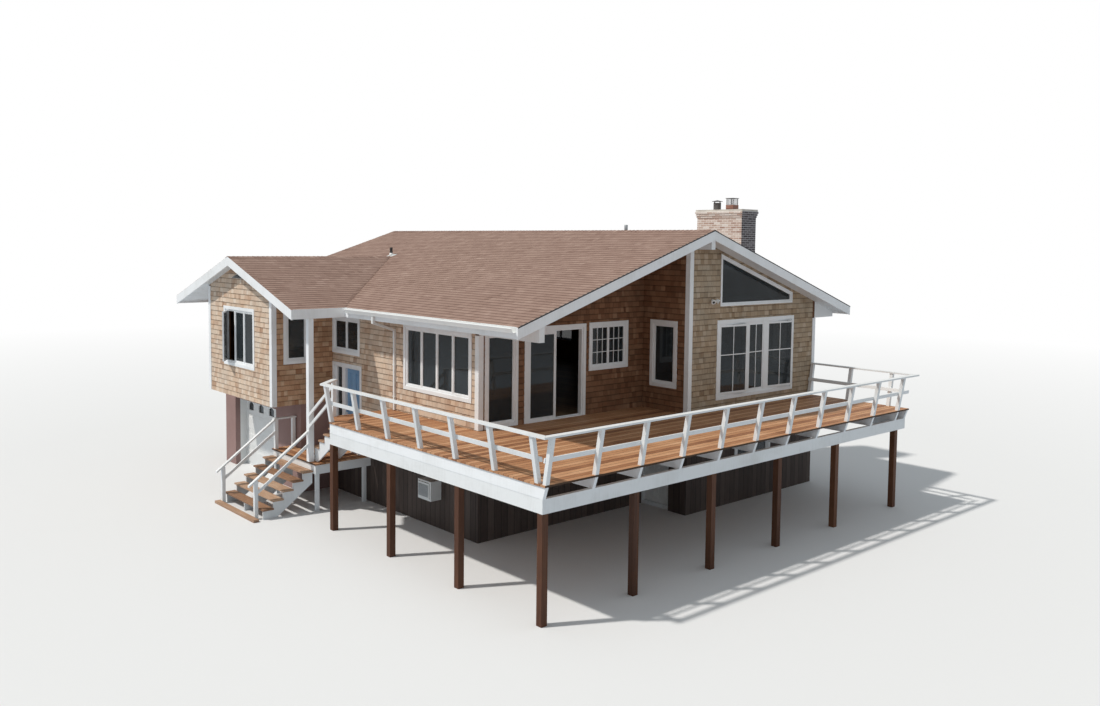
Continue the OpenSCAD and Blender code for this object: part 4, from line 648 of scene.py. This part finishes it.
SILL, HEAD = 3.290, 4.755
FOUR_LIGHTS, ENTRY_WINDOW = (-4.844, -2.208, SILL, HEAD), (0.086, 1.370, 3.890, HEAD)
PORCH_LIGHT, PATIO_DOOR = (-5.450, -4.640, 2.700, 4.760), (-4.264, -2.450, 0, 4.809)
KITCHEN_WINDOW, ROOM_WINDOW = (-2.162, -0.940, 3.790, 4.820), (-6.285, -5.543, SILL, 4.840)
CASEMENTS, WING_SIDE = (0.940, 4.180, 2.930, 4.840), (-7.090, -6.490, 3.640, 4.840)
WING_WINDOW = (2.607, 4.433, 3.385, 4.895)
RIGHT_WINDOWS = [(y, y + 1.4, SILL, 4.690) for y in (-6.0, 3.4)]
BACK_WINDOWS = [(x, x + 1.4, SILL, HEAD) for x in (2.8, -0.9, -4.4)]


def main_line(x):
    """Underside of the main roof above x: ridge height less slope times distance, less the slab."""
    return RIDGE_Z - np.abs(x) * SLOPE - ROOF_T - 0.002


def wing_line(y):
    """Underside of the wing roof above y."""
    return WING_RIDGE_Z - np.abs(y - WING_Y) * SLOPE - ROOF_T - 0.002


def left_line(y):
    """Roof line over the left wall: the higher of the main roof and the wing roof."""
    return np.maximum(main_line(LEFT_X), wing_line(y))


print("eave at", round(EAVE_Z, 3), "wing ridge at", round(WING_RIDGE_Z, 3))

# %% [markdown]
# ## Shingle the walls
# A course is 14 cm high and a shingle 8 to 20 cm wide, 12 to 16 mm thick at its butt, which stays
# behind the 22 mm casing boards. Most walls have weathered, the front gable has the weathered colours in
# painted shade, the side of the wing in the entry corner is redder, the porch recess is dark, so each wall gets its
# finish.

# %% Helper that shingles a wall
COURSE, CLEAR, FAR = 0.14, 0.017, 10.0
FOOT, TOP, WING_TOP = DECK_Z + 0.004, 7.2, 5.6
CHIMNEY_HOLE, RIDGE_NOTCH = (-4.073, -2.312), (-0.077, 0.077, 6.755, FAR)
LIGHT_X0, LIGHT_X1, LIGHT_Z0 = 0.953, 4.177, 5.288


def shingle(name, wall, span, windows, holes, top, finish, light, floor=None):
    """Shingles on a wall over span (u0, u1, v0, v1), cut round the windows' casings and the holes."""
    cased = [(u0 - CASING, u1 + CASING, v0 - CASING, v1 + CASING) for u0, u1, v0, v1 in windows]
    tiles = cut_openings(lay_rows(*span, COURSE, 0.08, 0.20, 0.0035), cased + holes)
    return lay_tiles("shingles_" + name, wall_plane(*WALLS[wall]), tiles, "cedar_shingles", finish,
                     (0.012, 0.016), 0.004, top, floor, light, 0.20, 0.003)


def light_line(x):
    """Top edge of the casing of the sloping gable light."""
    return 6.6494 - (x - 0.955) * SLOPE + 0.002


# %% Shingles on every wall
# Two parts of the left wall stay bare: round the entry door, and below the deck
shingle("left", "left", (PORCH_Y + CORNER, NEAR_Y, 1.240, WING_TOP), [FOUR_LIGHTS, ENTRY_WINDOW],
        [(-0.096, FAR, 0, 3.546), (-FAR, -1.500, 0, FOOT)], left_line, "cedar_weathered", 0.50)
shingle("left_back", "left", (FAR_Y, BACK_Y - CORNER, LOW_TOP, WING_TOP), [], [], left_line, "cedar_weathered", 0.46)
shingle("porch", "porch", (LEFT_X + CORNER, ROOM_X, FOOT, TOP), [PORCH_LIGHT, PATIO_DOOR, KITCHEN_WINDOW],
        [(LEFT_X, -5.548, 4.78, 5.2)], main_line, "cedar_recess", 0.55)
shingle("room_side", "room_side", (FRONT_Y + CORNER, PORCH_Y - CLEAR, FOOT, TOP), [ROOM_WINDOW], [],
        level(main_line(ROOM_X)), "cedar_recess", 0.55)
shingle("front", "front", (ROOM_X + CORNER, RIGHT_X - CORNER, FOOT, TOP), [CASEMENTS],
        [(LIGHT_X0, LIGHT_X1, LIGHT_Z0, FAR), RIDGE_NOTCH], main_line, "cedar_shaded", 0.52)
shingle("front_strip", "front", (LIGHT_X0, LIGHT_X1, LIGHT_Z0, TOP), [], [], main_line, "cedar_shaded", 0.45,
        light_line)
shingle("right", "right", (FRONT_Y + CORNER, BACK_Y - CORNER, LOW_TOP, SOFFIT_Z), RIGHT_WINDOWS,
        [(*CHIMNEY_HOLE, 0, FAR)], level(SOFFIT_Z - 0.002), "cedar_weathered", 0.48)
shingle("back", "back", (LEFT_X + CORNER, RIGHT_X - CORNER, LOW_TOP, TOP), BACK_WINDOWS, [RIDGE_NOTCH],
        main_line, "cedar_weathered", 0.45)
wing_span = (WING_X + CORNER, LEFT_X - CLEAR, WING_UNDER, WING_TOP)
shingle("wing_near", "wing_near", wing_span, [WING_SIDE], [], level(wing_line(NEAR_Y)), "cedar_sheltered", 0.62)
shingle("wing_far", "wing_far", wing_span, [], [], level(wing_line(FAR_Y)), "cedar_weathered", 0.45)
shingle("wing_gable", "wing_gable", (NEAR_Y + CORNER, FAR_Y - CORNER, WING_UNDER, 6.3), [WING_WINDOW], [],
        wing_line, "cedar_weathered", 0.55)

# %% [markdown]
# ## Roof tabs
# The roof is covered with laminated asphalt shingles in courses of 143 mm up the slope. Rows start at
# the eave, where they stand 30 mm over the fascia, and run 36 mm past the gables, so a thin dark edge
# shows above the white boards. Where the wing meets the main roof, the valley is the line at 45
# degrees in plan that trims the lower corners of the tabs on both sides.

# %% Tabs on the four slopes
OVER, GABLE_OUT, OVERHANG, WING_OVERHANG = 0.030, 0.036, 0.510, 0.280
TAB = 0.143
ROOF_Y0, ROOF_Y1 = FRONT_Y - OVERHANG - GABLE_OUT, BACK_Y + OVERHANG + GABLE_OUT
WING_X0 = WING_X - WING_OVERHANG - GABLE_OUT
WING_Y0, WING_Y1 = WING_Y - WING_EAVE, WING_Y + WING_EAVE
VALLEY_X = EAVE_X - WING_EAVE
main_reach, wing_reach = EAVE_X + OVER, WING_EAVE + OVER


def slopes(over, drop, face):
    """The planes of the four roof slopes, from over past the eave up to the ridge. drop is how far
    they lie below the roof's top, and face is 1 for the top and -1 for the underside."""
    main, wing = EAVE_X + over, WING_EAVE + over
    main_z, wing_z = RIDGE_Z - main * SLOPE - drop, WING_RIDGE_Z - wing * SLOPE - drop
    planes = {}
    for side, main_name, wing_name in ((-1, "left", "wing_near"), (1, "right", "wing_far")):
        planes[main_name] = (side * main, 0, main_z), (0, 1, 0), (-side, 0, SLOPE), (face * side * SIN, 0, face * COS)
        planes[wing_name] = ((0, WING_Y + side * wing, wing_z), (1, 0, 0), (0, -side, SLOPE),
                             (0, face * side * SIN, face * COS))
    return planes


def main_valley(y):
    """Climb at which the main left slope begins beside the wing: it rises with y up to the wing
    ridge and falls after it, and lies below the eave where there is no wing."""
    return main_reach - VALLEY_X - np.abs(np.abs(y - WING_Y)) - np.where(y < WING_Y0, 1e3, 0.0)


def wing_valley(x):
    """Climb at which a wing slope begins: from the corner of the two eaves inwards it rises with x."""
    return np.where(x > -EAVE_X - OVER, x + VALLEY_X + wing_reach, -1e3)


top_planes = slopes(OVER, 0.0, 1)
main_span, wing_span = (ROOF_Y0, ROOF_Y1, 0, main_reach), (WING_X0, -VALLEY_X, 0, wing_reach)
for name, span, holes, floor in (
        ("left", main_span, [], main_valley),
        ("right", main_span, [(*CHIMNEY_HOLE, main_reach - 6.053, main_reach - 5.327)], None),
        ("wing_near", wing_span, [], wing_valley), ("wing_far", wing_span, [], wing_valley)):
    tiles = cut_openings(lay_rows(*span, TAB * COS, 0.10, 0.30, 0.002), holes)
    lay_tiles("tabs_" + name, top_planes[name], tiles, "asphalt_shingles", None,
              (0.0068, 0.0078), 0.002, None, floor, 0.5, 0.12)

# %% [markdown]
# ## Ridge caps
# A ridge is closed by single tabs bent over it, each overlapping the one before. Only the part that
# shows is made: two leaning wedges per tab, one on each slope, thicker at the exposed end.

# %% Caps along both ridges
CAP_HALF, CAP_LAP, CAP_BUTT, CAP_HEAD = 0.15, 0.004, 0.016, 0.008


def ridge_caps(name, start, stop, across, ridge_z):
    """Caps from start to stop. across is the unit direction square to the ridge in plan. A cap's
    corner is the ridge point plus s across, lowered by s times the slope, where s is 0 or CAP_HALF,
    and lifted by CAP_HEAD at its covered end and CAP_BUTT at the other."""
    start, stop, across = np.array(start, float), np.array(stop, float), np.array(across, float)
    length = np.linalg.norm(stop - start)
    along = (stop - start) / length
    count = int(length / TAB)
    t0 = np.linspace(0, length - TAB - CAP_LAP, count)
    ends = np.stack([t0, t0 + TAB + CAP_LAP], 1)
    lift = np.array([CAP_BUTT, CAP_BUTT, CAP_HEAD, CAP_HEAD])[None, :, None] * np.array([0, 0, 1.0])
    backs, faces = [], []
    for side in (-1, 1):
        back = np.stack([np.concatenate([
            start + ends[:, e, None] * along + side * s * across, np.full((count, 1), ridge_z - s * SLOPE)], 1)
            for s, e in ((0, 0), (CAP_HALF, 0), (CAP_HALF, 1), (0, 1))], 1)
        turn = -1 if side * np.cross(np.append(across, 0), np.append(along, 0))[2] < 0 else 1
        backs.append(back[:, ::turn])
        faces.append((back + lift)[:, ::turn])
    tone = np.tile(np.clip(rng.normal(0.42, 0.2, count), 0.02, 0.98), 2)
    return blocks(name, np.concatenate(backs), np.concatenate(faces), "asphalt_shingles", tone=tone)


ridge_caps("caps_main_ridge", (0, ROOF_Y0), (0, ROOF_Y1), (1, 0), RIDGE_Z)
ridge_caps("caps_wing_ridge", (WING_X0, WING_Y), (-VALLEY_X + 0.05, WING_Y), (0, 1), WING_RIDGE_Z)

# %% [markdown]
# ## Brickwork of the chimney
# The chimney is laid in running bond: bricks of 201 by 54 mm with 14 mm joints, every other course
# shifted by half a brick. The CAD solid is the mortar, and each visible brick face stands 2 mm proud
# of it. The three corbelled courses under the crown step outwards by 18 mm each. Only the courses that
# show above the roof are laid on the inner face.

# %% Bricks on the faces of the chimney
CORBEL_Z, BRICK_COURSE, CORBEL_COURSE, CORBEL_STEP = 7.740, 0.0675, 0.065, 0.018
BRICK, JOINT = 0.201, 0.014


def lay_bricks(name, plane, u0, u1, v0, v1, course, shift, light, spread):
    """One face in running bond: left = u0 + (k + half of the row's parity) (BRICK + JOINT)."""
    rows = int(round((v1 - v0) / course))
    row, k = np.meshgrid(np.arange(rows), np.arange(-1, int((u1 - u0) / (BRICK + JOINT)) + 3), indexing="ij")
    left = u0 + (k + 0.5 * ((row + shift) % 2)) * (BRICK + JOINT)
    low = v0 + row * course
    tiles = np.stack([left, left + BRICK, low, low + course - JOINT, low, np.full_like(low, course)], -1).reshape(-1, 6)
    tiles[:, :2] = np.clip(tiles[:, :2], u0, u1)
    # The bricks of the front face get the colours in painted shade.
    clay = "brick_sooty" if "front" in name else "brick_face"
    return lay_tiles(name, plane, tiles[tiles[:, 1] - tiles[:, 0] > 0.02], "brick", clay,
                     (0.0015, 0.0025), 0.0015, light=light, spread=spread)


for name, axis, at, outward, u0, u1, v0 in (
        ("front", "y", CH_Y0, -1, CH_X0, CH_X1, 0.0), ("back", "y", CH_Y1, 1, CH_X0, CH_X1, 0.0),
        ("outer", "x", CH_X1, 1, CH_Y0, CH_Y1, 0.0),
        ("inner", "x", CH_X0, -1, CH_Y0, CH_Y1, CORBEL_Z - 33 * BRICK_COURSE)):
    low = v0 + (CORBEL_Z - v0) % BRICK_COURSE
    lay_bricks("bricks_" + name, wall_plane(axis, at, outward), u0, u1, low, CORBEL_Z, BRICK_COURSE,
               axis == "x", 0.52, 0.22)
    for i in (1, 2, 3):
        out, z = CORBEL_STEP * i, CORBEL_Z + CORBEL_COURSE * (i - 1)
        lay_bricks(f"bricks_{name}_corbel_{i}", wall_plane(axis, at + outward * out, outward), u0 - out, u1 + out,
                   z, z + CORBEL_COURSE, CORBEL_COURSE, i, 0.5 + 0.12 * i, 0.15)

# %% [markdown]
# ## Soffit boards
# The undersides of the roof overhangs and of the porch are white boards with narrow grooves. They are
# rows again, on the underside of each slab, 14 cm wide and 12 mm thick, laid only outside the walls.

# %% Boards under the overhangs
EDGE, RIDGE_BEAM = 0.002, 0.077
under_planes = slopes(0.0, ROOF_T, -1)
front_edge, back_edge, wing_edge = FRONT_Y - OVERHANG, BACK_Y + OVERHANG, WING_X - WING_OVERHANG


def under_main_valley(y):
    return main_valley(y) - OVER


def under_wing_valley(x):
    return np.where(x > -EAVE_X, x + EAVE_X, -1e3)


for name, plane, u0, u1, v0, v1, floor in (
        ("porch", "left", front_edge, PORCH_Y, EDGE, EAVE_X + ROOM_X - EDGE, None),
        ("gable_peak", "left", front_edge, FRONT_Y, EAVE_X + ROOM_X, EAVE_X - RIDGE_BEAM, None),
        ("left_eave", "left", PORCH_Y, 0.40, EDGE, EAVE_X + LEFT_X - EDGE, under_main_valley),
        ("back_left", "left", BACK_Y, back_edge, EDGE, EAVE_X - RIDGE_BEAM, under_main_valley),
        ("front_right", "right", front_edge, FRONT_Y, EDGE, EAVE_X - RIDGE_BEAM, None),
        ("back_right", "right", BACK_Y, back_edge, EDGE, EAVE_X - RIDGE_BEAM, None),
        ("entry", "wing_near", WING_X, LEFT_X - EDGE, EDGE, NEAR_Y - WING_Y0 - EDGE, under_wing_valley),
        ("wing_gable_near", "wing_near", wing_edge, WING_X - EDGE, EDGE, WING_EAVE - EDGE, None),
        ("wing_gable_far", "wing_far", wing_edge, WING_X - EDGE, EDGE, WING_EAVE - EDGE, None),
        ("wing_far", "wing_far", WING_X, LEFT_X - EDGE, EDGE, WING_Y1 - FAR_Y - EDGE, under_wing_valley)):
    tiles = lay_rows(u0, u1, v0, v1, 0.14, 3.0, 4.5, 0.001)
    tiles[:, 3] -= 0.004
    lay_tiles("soffit_" + name, under_planes[plane], tiles, "white_paint", None, (0.012, 0.0121), 0.012, None, floor)

# %% [markdown]
# ## Small fittings
# The kitchen window has thin bars, the attic louvre is a dark triangle of slats over a white board,
# the air conditioner has a slatted grille, and the doors have raised fields. All of them are short
# rows of blocks whose places come from linspace and meshgrid.

# %% Bars, slats and fins
pane_w, pane_x, kitchen_z = 0.5435, np.array([-2.117, -1.5285]), (3.835, 4.775)
bar_x = (pane_x[:, None] + pane_w * np.array([1, 2]) / 3).ravel()
bar_z = np.linspace(*kitchen_z, 4)[1:3, None]
rows = [boxes((bar_x - 0.009, bar_x + 0.009), (PORCH_Y + 0.016, PORCH_Y + 0.029), kitchen_z),
        boxes((pane_x, pane_x + pane_w), (PORCH_Y + 0.017, PORCH_Y + 0.028), (bar_z - 0.009, bar_z + 0.009))]
bars("kitchen_bars", np.concatenate(rows), "white_paint")

slat_z = np.linspace(WING_RIDGE_Z - 0.600, WING_RIDGE_Z - 0.500, 5)
slat_half = (WING_RIDGE_Z - 0.610 + 0.450 * SLOPE - 0.024 - slat_z) / SLOPE
bars("louvre_slats", boxes((WING_X - 0.036, WING_X - 0.0205), (WING_Y - slat_half, WING_Y + slat_half),
                           (slat_z, slat_z + 0.016)), "vent_metal")

fin_x, fin_z = LEFT_X - 0.330, np.linspace(0.810, 1.080, 14)
bars("conditioner_fins", boxes((fin_x - 0.012, fin_x - 0.001), (-3.670, -3.280), (fin_z, fin_z + 0.010)),
     "vent_metal", "galvanised")


# %% Raised fields of the doors
def fields(name, x, y0, z0, width, height, rows, columns, rail, margin, depth, slot, body="house"):
    """Bevelled fields on a leaf that faces -X. Both ways the pitch is (size - rail) / number, and a
    field starts rail + margin after its pitch does and ends margin before it."""
    pitch_y, pitch_z = (width - rail) / columns, (height - rail) / rows
    i, j = (a.ravel() for a in np.meshgrid(np.arange(columns), np.arange(rows)))
    left, low = y0 + rail + margin + i * pitch_y, z0 + rail + margin + j * pitch_z
    rects = np.stack([left, left + pitch_y - rail - 2 * margin, low, low + pitch_z - rail - 2 * margin], 1)
    return plates(name, wall_plane("x", x, -1), rects, 0.0, depth, slot, body=body, rim=0.022)


door_w, door_h = 2.743, 2.080
fields("garage_fields", GARAGE_X, 2.957, 0.0, door_w, 0.75 * door_h, 3, 4, 0.0, 0.07, 0.008, "garage_door_paint")
leaf_x = {"entry_door": LEFT_X + WALL_T - LEAF_T, "lower_door": ROOM_X + WALL_T - LEAF_T}
for name, node, width, height, rows, slot in (
        ("entry_fields", "entry_door", 0.790, 2.130, 3, "blue_paint"),
        ("lower_door_fields", "lower_door", 0.864, 2.032, 2, "white_door_paint")):
    low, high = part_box(node)
    fields(name, leaf_x[node] + 0.012, high.y - width, low.z, width, height, rows, 2, 0.110, 0.02, 0.009, slot, node)

# %% [markdown]
# ## Turned pieces
# Screws, collars, lamp heads and handles are solids of revolution. One profile, a list of heights and
# radii along an axis, is turned round that axis at every place at once: ring j of solid i is place i
# + height j along the axis + radius j (cos a, sin a) square to it.

# %% Helper that turns a profile at many places
def turned(name, places, axis, profile, slot, finish=None, sides=16, body="house"):
    """Closed solids of revolution: the rings are joined by quads, and the two end rings are the caps."""
    places, profile = np.atleast_2d(np.asarray(places, float)), np.asarray(profile, float)
    axis = np.array(axis, float) / np.linalg.norm(axis)
    side = np.cross(axis, (1.0, 0, 0) if abs(axis[2]) > 0.9 else (0, 0, 1.0))
    side /= np.linalg.norm(side)
    angle = 2 * math.pi * np.arange(sides) / sides
    circle = np.cos(angle)[:, None] * side + np.sin(angle)[:, None] * np.cross(axis, side)
    height, radius = profile[None, :, None, 0:1], profile[None, :, None, 1:2]
    points = places[:, None, None] + height * axis + radius * circle[None, None]
    rings, count = len(profile), len(places)
    j, k = np.meshgrid(np.arange(rings - 1), np.arange(sides), indexing="ij")
    first, second = j * sides + k, j * sides + (k + 1) % sides
    quads = np.stack([first, second, second + sides, first + sides], -1).reshape(-1)
    ends = np.concatenate([np.arange(sides)[::-1], np.arange(sides) + (rings - 1) * sides])
    shift = (rings * sides * np.arange(count))[:, None]
    corners = np.concatenate([(quads[None] + shift).ravel(), (ends[None] + shift).ravel()])
    quad_count = count * (rings - 1) * sides
    starts = np.concatenate([4 * np.arange(quad_count), 4 * quad_count + sides * np.arange(2 * count)])
    print(f"{name}: {count} turned solids")
    return add_piece(name, points.reshape(-1, 3), corners, starts, slot, finish, body,
                     (np.arange(len(starts)) < quad_count) & (sides > 8))


# %% [markdown]
# ## Sashes in the window frames
# In every fixed light a sash stands a little behind the frame, so the white round each pane has a step
# and a shadow line. Each pane gets four slabs, in front of its glass. The third pane of the wing's
# window is an open sash, so it has none.

# %% Sash steps
FRAME = 0.045


def pane_rects(window, panes):
    """Clear rectangle of each pane: equal widths between uprights of one frame width."""
    u0, u1, v0, v1 = window
    width = (u1 - u0 - FRAME * (panes + 1)) / panes
    left = u0 + FRAME + np.arange(panes) * (width + FRAME)
    return np.stack([left, left + width, np.full(panes, v0 + FRAME), np.full(panes, v1 - FRAME)], 1)


def low_window(start, sill=1.150):
    return start, start + 1.0, sill, 1.950


for name, wall, width, windows in (
        ("left", "left", 0.026, [(FOUR_LIGHTS, 4), (ENTRY_WINDOW, 2)]),
        ("porch", "porch", 0.014, [(PORCH_LIGHT, 1), (KITCHEN_WINDOW, 2)]),
        ("room_side", "room_side", 0.026, [(ROOM_WINDOW, 1)]),
        ("wing", "wing_gable", 0.026, [(WING_WINDOW, 3)]),
        ("wing_near", "wing_near", 0.026, [(WING_SIDE, 1)]),
        ("right", "right", 0.026, [(window, 2) for window in RIGHT_WINDOWS + [low_window(-5.4), low_window(3.0)]]),
        ("back", "back", 0.026, [(window, 2) for window in BACK_WINDOWS + [low_window(-4.0), low_window(3.0)]]),
        ("low_front", "front", 0.026, [((1.8, 3.2, 1.050, 1.950), 2)])):
    rects = np.concatenate([pane_rects(*window) for window in windows])
    a, b, c, d = rects[:2 if name == "wing" else None].T
    sides = ((a, b, c, c + width), (a, b, d - width, d), (a, a + width, c + width, d - width),
             (b - width, b, c + width, d - width))
    plates("sashes_" + name, wall_plane(*WALLS[wall]), np.concatenate([np.stack(side, 1) for side in sides]),
           -0.0298, -0.014, "white_paint", "trim_paint")

# %% [markdown]
# ## Metal on the roof and the gutters
# The pot has a wire cage against birds, sheet metal closes the roof round the chimney and the two
# pipes, and straps hold the gutters and the downspout.

# %% Wire cage of the pot
POT_X, POT_Y, CAGE_Z, CAGE_OUT, WIRE = 5.690, -3.415, (8.1445, 8.3445), 0.122, 0.0015


def wire(centre):
    """The two sides of a wire."""
    return centre - WIRE, centre + WIRE


side = np.array([[-1.0], [1.0]])
upright, hoop = CAGE_OUT * side, (CAGE_OUT + 0.0035) * side
steps, rungs = np.linspace(-0.105, 0.105, 8), np.linspace(CAGE_Z[0] + 0.02, CAGE_Z[1] - 0.02, 5)
rows = [boxes(wire(POT_X + steps), wire(POT_Y + upright), CAGE_Z),
        boxes(wire(POT_X + upright), wire(POT_Y + steps), CAGE_Z),
        boxes((POT_X - 0.116, POT_X + 0.116), wire(POT_Y + hoop), wire(rungs)),
        boxes(wire(POT_X + hoop), (POT_Y - 0.116, POT_Y + 0.116), wire(rungs))]
bars("pot_cage", np.concatenate(rows), "vent_metal")


# %% Flashing, roof edges and vent pipes
def roof_at(x):
    """Top of the main roof above x."""
    return RIDGE_Z - abs(x) * SLOPE


SHEET, UPSTAND = 0.006, 0.13
high, low = roof_at(CH_X0) + 0.004, roof_at(CH_X1) + 0.004
rings, normals = [], []
for y, out in ((CH_Y0, -1), (CH_Y1, 1)):
    ring = [(CH_X0, y, high), (CH_X1, y, low), (CH_X1, y, low + UPSTAND), (CH_X0, y, high + UPSTAND)]
    rings.append(ring[::-out])
    normals.append((0, out, 0))
for x, z, out in ((CH_X0, high, -1), (CH_X1, low, 1)):
    y0, y1 = CH_Y0 - SHEET, CH_Y1 + SHEET
    rings.append([(x, y0, z), (x, y1, z), (x, y1, z + UPSTAND), (x, y0, z + UPSTAND)][::out])
    normals.append((out, 0, 0))
sheet_back = np.array(rings)
blocks("chimney_flashing", sheet_back, sheet_back + SHEET * np.array(normals)[:, None], "vent_metal", "galvanised")

# The black strips under the tabs' edge along both gables are painted shade of the roofing edge over the white boards.
for side in ("left", "right"):
    plates("rake_edge_" + side, top_planes[side], [(ROOF_Y0 - 0.005, ROOF_Y0 + 0.025, 0.001, main_reach)],
           -0.020, 0.005, "vent_metal")

UP = (0, 0, 1)
SLEEVED = (0.720, -3.560)
turned("vent_sleeve", (*SLEEVED, roof_at(SLEEVED[0]) + 0.05), UP, [(0, 0.048), (0.36, 0.048), (0.365, 0.044)],
       "vent_metal", "galvanised", 24)
for side, x, y in (("left", -2.450, 3.610), ("right", *SLEEVED)):
    v = main_reach - abs(x)
    plates("vent_plate_" + side, top_planes[side], [(y - 0.15, y + 0.15, v - 0.17, v + 0.13)],
           0.004, 0.013, "white_metal")
    turned("vent_collar_" + side, (x, y, roof_at(x) - 0.02), UP, [(0, 0.085), (0.06, 0.058), (0.11, 0.050)],
           "white_metal", sides=24)

# %% Gutter and downspout straps
strap_y = np.arange(-6.9, 7.2, 0.75)
strap_z, gutter_x, gutter_w = EAVE_Z - 0.015, EAVE_X + 0.038, 0.114
for side, out, y in (("left", -1, strap_y[strap_y < -0.5]), ("right", 1, strap_y)):
    bars("gutter_straps_" + side, boxes(sorted((out * gutter_x, out * (gutter_x + gutter_w))),
                                        (y - 0.010, y + 0.010), (strap_z, strap_z + 0.002)), "white_metal")
pipe_z = np.array([2.95, 3.75, 4.45])
bars("downspout_straps", boxes((-5.7625, -5.7145), (-1.7875, -1.6825), (pipe_z, pipe_z + 0.025)), "white_metal")

# %% [markdown]
# ## Screws, handles and the floodlight
# Two screws hold each deck board on each joist. The doors have lever handles with round roses, and the
# floodlight has two white heads with dark lenses, turned down and outwards.

# %% Deck screws
DECK_X0, DECK_X1, DECK_Y0, DECK_Y1 = -7.780, 5.124, -9.834, -2.099
JOIST_IN, JOIST_PITCH = 0.061, 1.231
joists = np.append(DECK_X0 + JOIST_IN + JOIST_PITCH * np.arange(11), DECK_X1 - JOIST_IN)
spots = []
for y0, y1, x1 in ((DECK_Y0, FRONT_Y, DECK_X1), (FRONT_Y, PORCH_Y, ROOM_X), (PORCH_Y, DECK_Y1, LEFT_X)):
    rows = np.arange(y0, y1 - 0.1, BOARD_PITCH)
    x, y = np.meshgrid(joists[joists < x1 - 0.03], np.concatenate([rows + 0.035, rows + 0.105]))
    spots.append(np.stack([x.ravel(), y.ravel(), np.full(x.size, DECK_Z - 0.001)], 1))
turned("deck_screws", np.concatenate(spots), UP, [(0, 0.0045), (0.0015, 0.0045)], "vent_metal", "galvanised", 6)

# %% Lever handles
HANDLE_UP, HANDLE_IN = 1.000, 0.065
for node, sill in (("entry_door", 1.265), ("lower_door", 0.100)):
    y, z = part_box(node)[1].y - HANDLE_IN, sill + HANDLE_UP
    for name, x, out in (("_lever", leaf_x[node], -1), ("_inner_lever", leaf_x[node] + LEAF_T, 1)):
        for part, place, axis, profile, sides in (
                ("_rose", (x, y, z), (out, 0, 0), [(0, 0.027), (0.007, 0.027), (0.009, 0.022)], 24),
                ("_neck", (x + out * 0.008, y, z), (out, 0, 0), [(0, 0.010), (0.036, 0.009)], 16),
                ("_grip", (x + out * 0.040, y + 0.012, z), (0, -1, 0),
                 [(0, 0.006), (0.006, 0.009), (0.115, 0.008), (0.122, 0.005)], 12)):
            turned(node + name + part, place, axis, profile, "vent_metal", "galvanised", sides, node)

# %% Floodlight
LAMP = np.array((0.624, -6.845, 5.442))
for name, side in (("left", -1), ("right", 1)):
    aim, hub = (0.45 * side, -0.75, -0.50), LAMP + np.array((0.085 * side, 0.0, 0.0))
    turned("lamp_head_" + name, hub, aim, [(-0.050, 0.022), (-0.030, 0.046), (0.045, 0.062), (0.055, 0.062)],
           "white_metal", sides=32)
    turned("lamp_lens_" + name, hub, aim, [(0.0551, 0.034), (0.0580, 0.034)], "vent_metal", sides=32)
turned("lamp_yoke", LAMP + np.array((-0.080, 0.0, 0.0)), (1, 0, 0), [(0, 0.012), (0.160, 0.012)], "white_metal")

# %% [markdown]
# ## Floor, sky and light
# The house stands on a plain pale floor under a soft, faintly blue sky, with one warm sun lamp high at
# the back left. The camera sees a white sky, and the floor throws back less light than it shows, so
# the faces turned away from the lamp stay in shade as they do above grass.

# %% Floor
bpy.ops.mesh.primitive_plane_add(size=400, location=(0, 0, -0.001))
floor = bpy.context.object
floor.name = "studio_floor"
ground = Finish("studio_floor", 0.9, 0.1)
seen = ground.put("LightPath").outputs["Is Camera Ray"]
ground.colour(ground.blend(seen, (0.55, 0.60, 0.66), (0.74, 0.74, 0.74)))
distance = ground.put("VectorMath", {"operation": "LENGTH"}, i0=ground.spot()).outputs["Value"]
far = ground.put("MapRange", Value=distance, From_Min=16.0, From_Max=55.0).outputs["Result"]
glow = ground.put("Emission", Color=(1, 1, 1, 1), Strength=ground.maths("MULTIPLY_ADD", seen, 0.55, 0.45))
faded = ground.put("MixShader", Fac=far, i1=ground.shader.outputs["BSDF"], i2=glow.outputs[0])
ground.tree.links.new(faded.outputs[0], ground.tree.nodes["Material Output"].inputs["Surface"])
floor.data.materials.append(ground.material)

# %% Sky and lamp
world = bpy.data.worlds.new("studio")
world.use_nodes = True
bpy.context.scene.world = world
sky = Graph(world.node_tree)
path = sky.put("LightPath").outputs
mirrored = sky.maths("MAXIMUM", path["Is Glossy Ray"], path["Is Transmission Ray"])
plain = sky.put("Mix", {"data_type": "FLOAT"}, i0=path["Is Camera Ray"], i2=0.50, i3=1.0).outputs[0]
strength = sky.put("Mix", {"data_type": "FLOAT"}, i0=mirrored, i2=plain, i3=0.62).outputs[0]
background = sky.tree.nodes["Background"].inputs
sky.tree.links.new(strength, background["Strength"])
sky.tree.links.new(sky.blend(path["Is Camera Ray"], (0.88, 0.95, 1.0), (1, 1, 1)), background["Color"])

sun = bpy.data.lights.new("key_lamp", "SUN")
sun.energy, sun.angle, sun.color = 2.75, 0.04, (1.0, 0.965, 0.91)
lamp = bpy.data.objects.new("key_lamp", sun)
lamp.rotation_euler = Vector((0.52, -0.28, -0.81)).to_track_quat("-Z", "Y").to_euler()
bpy.context.scene.collection.objects.link(lamp)
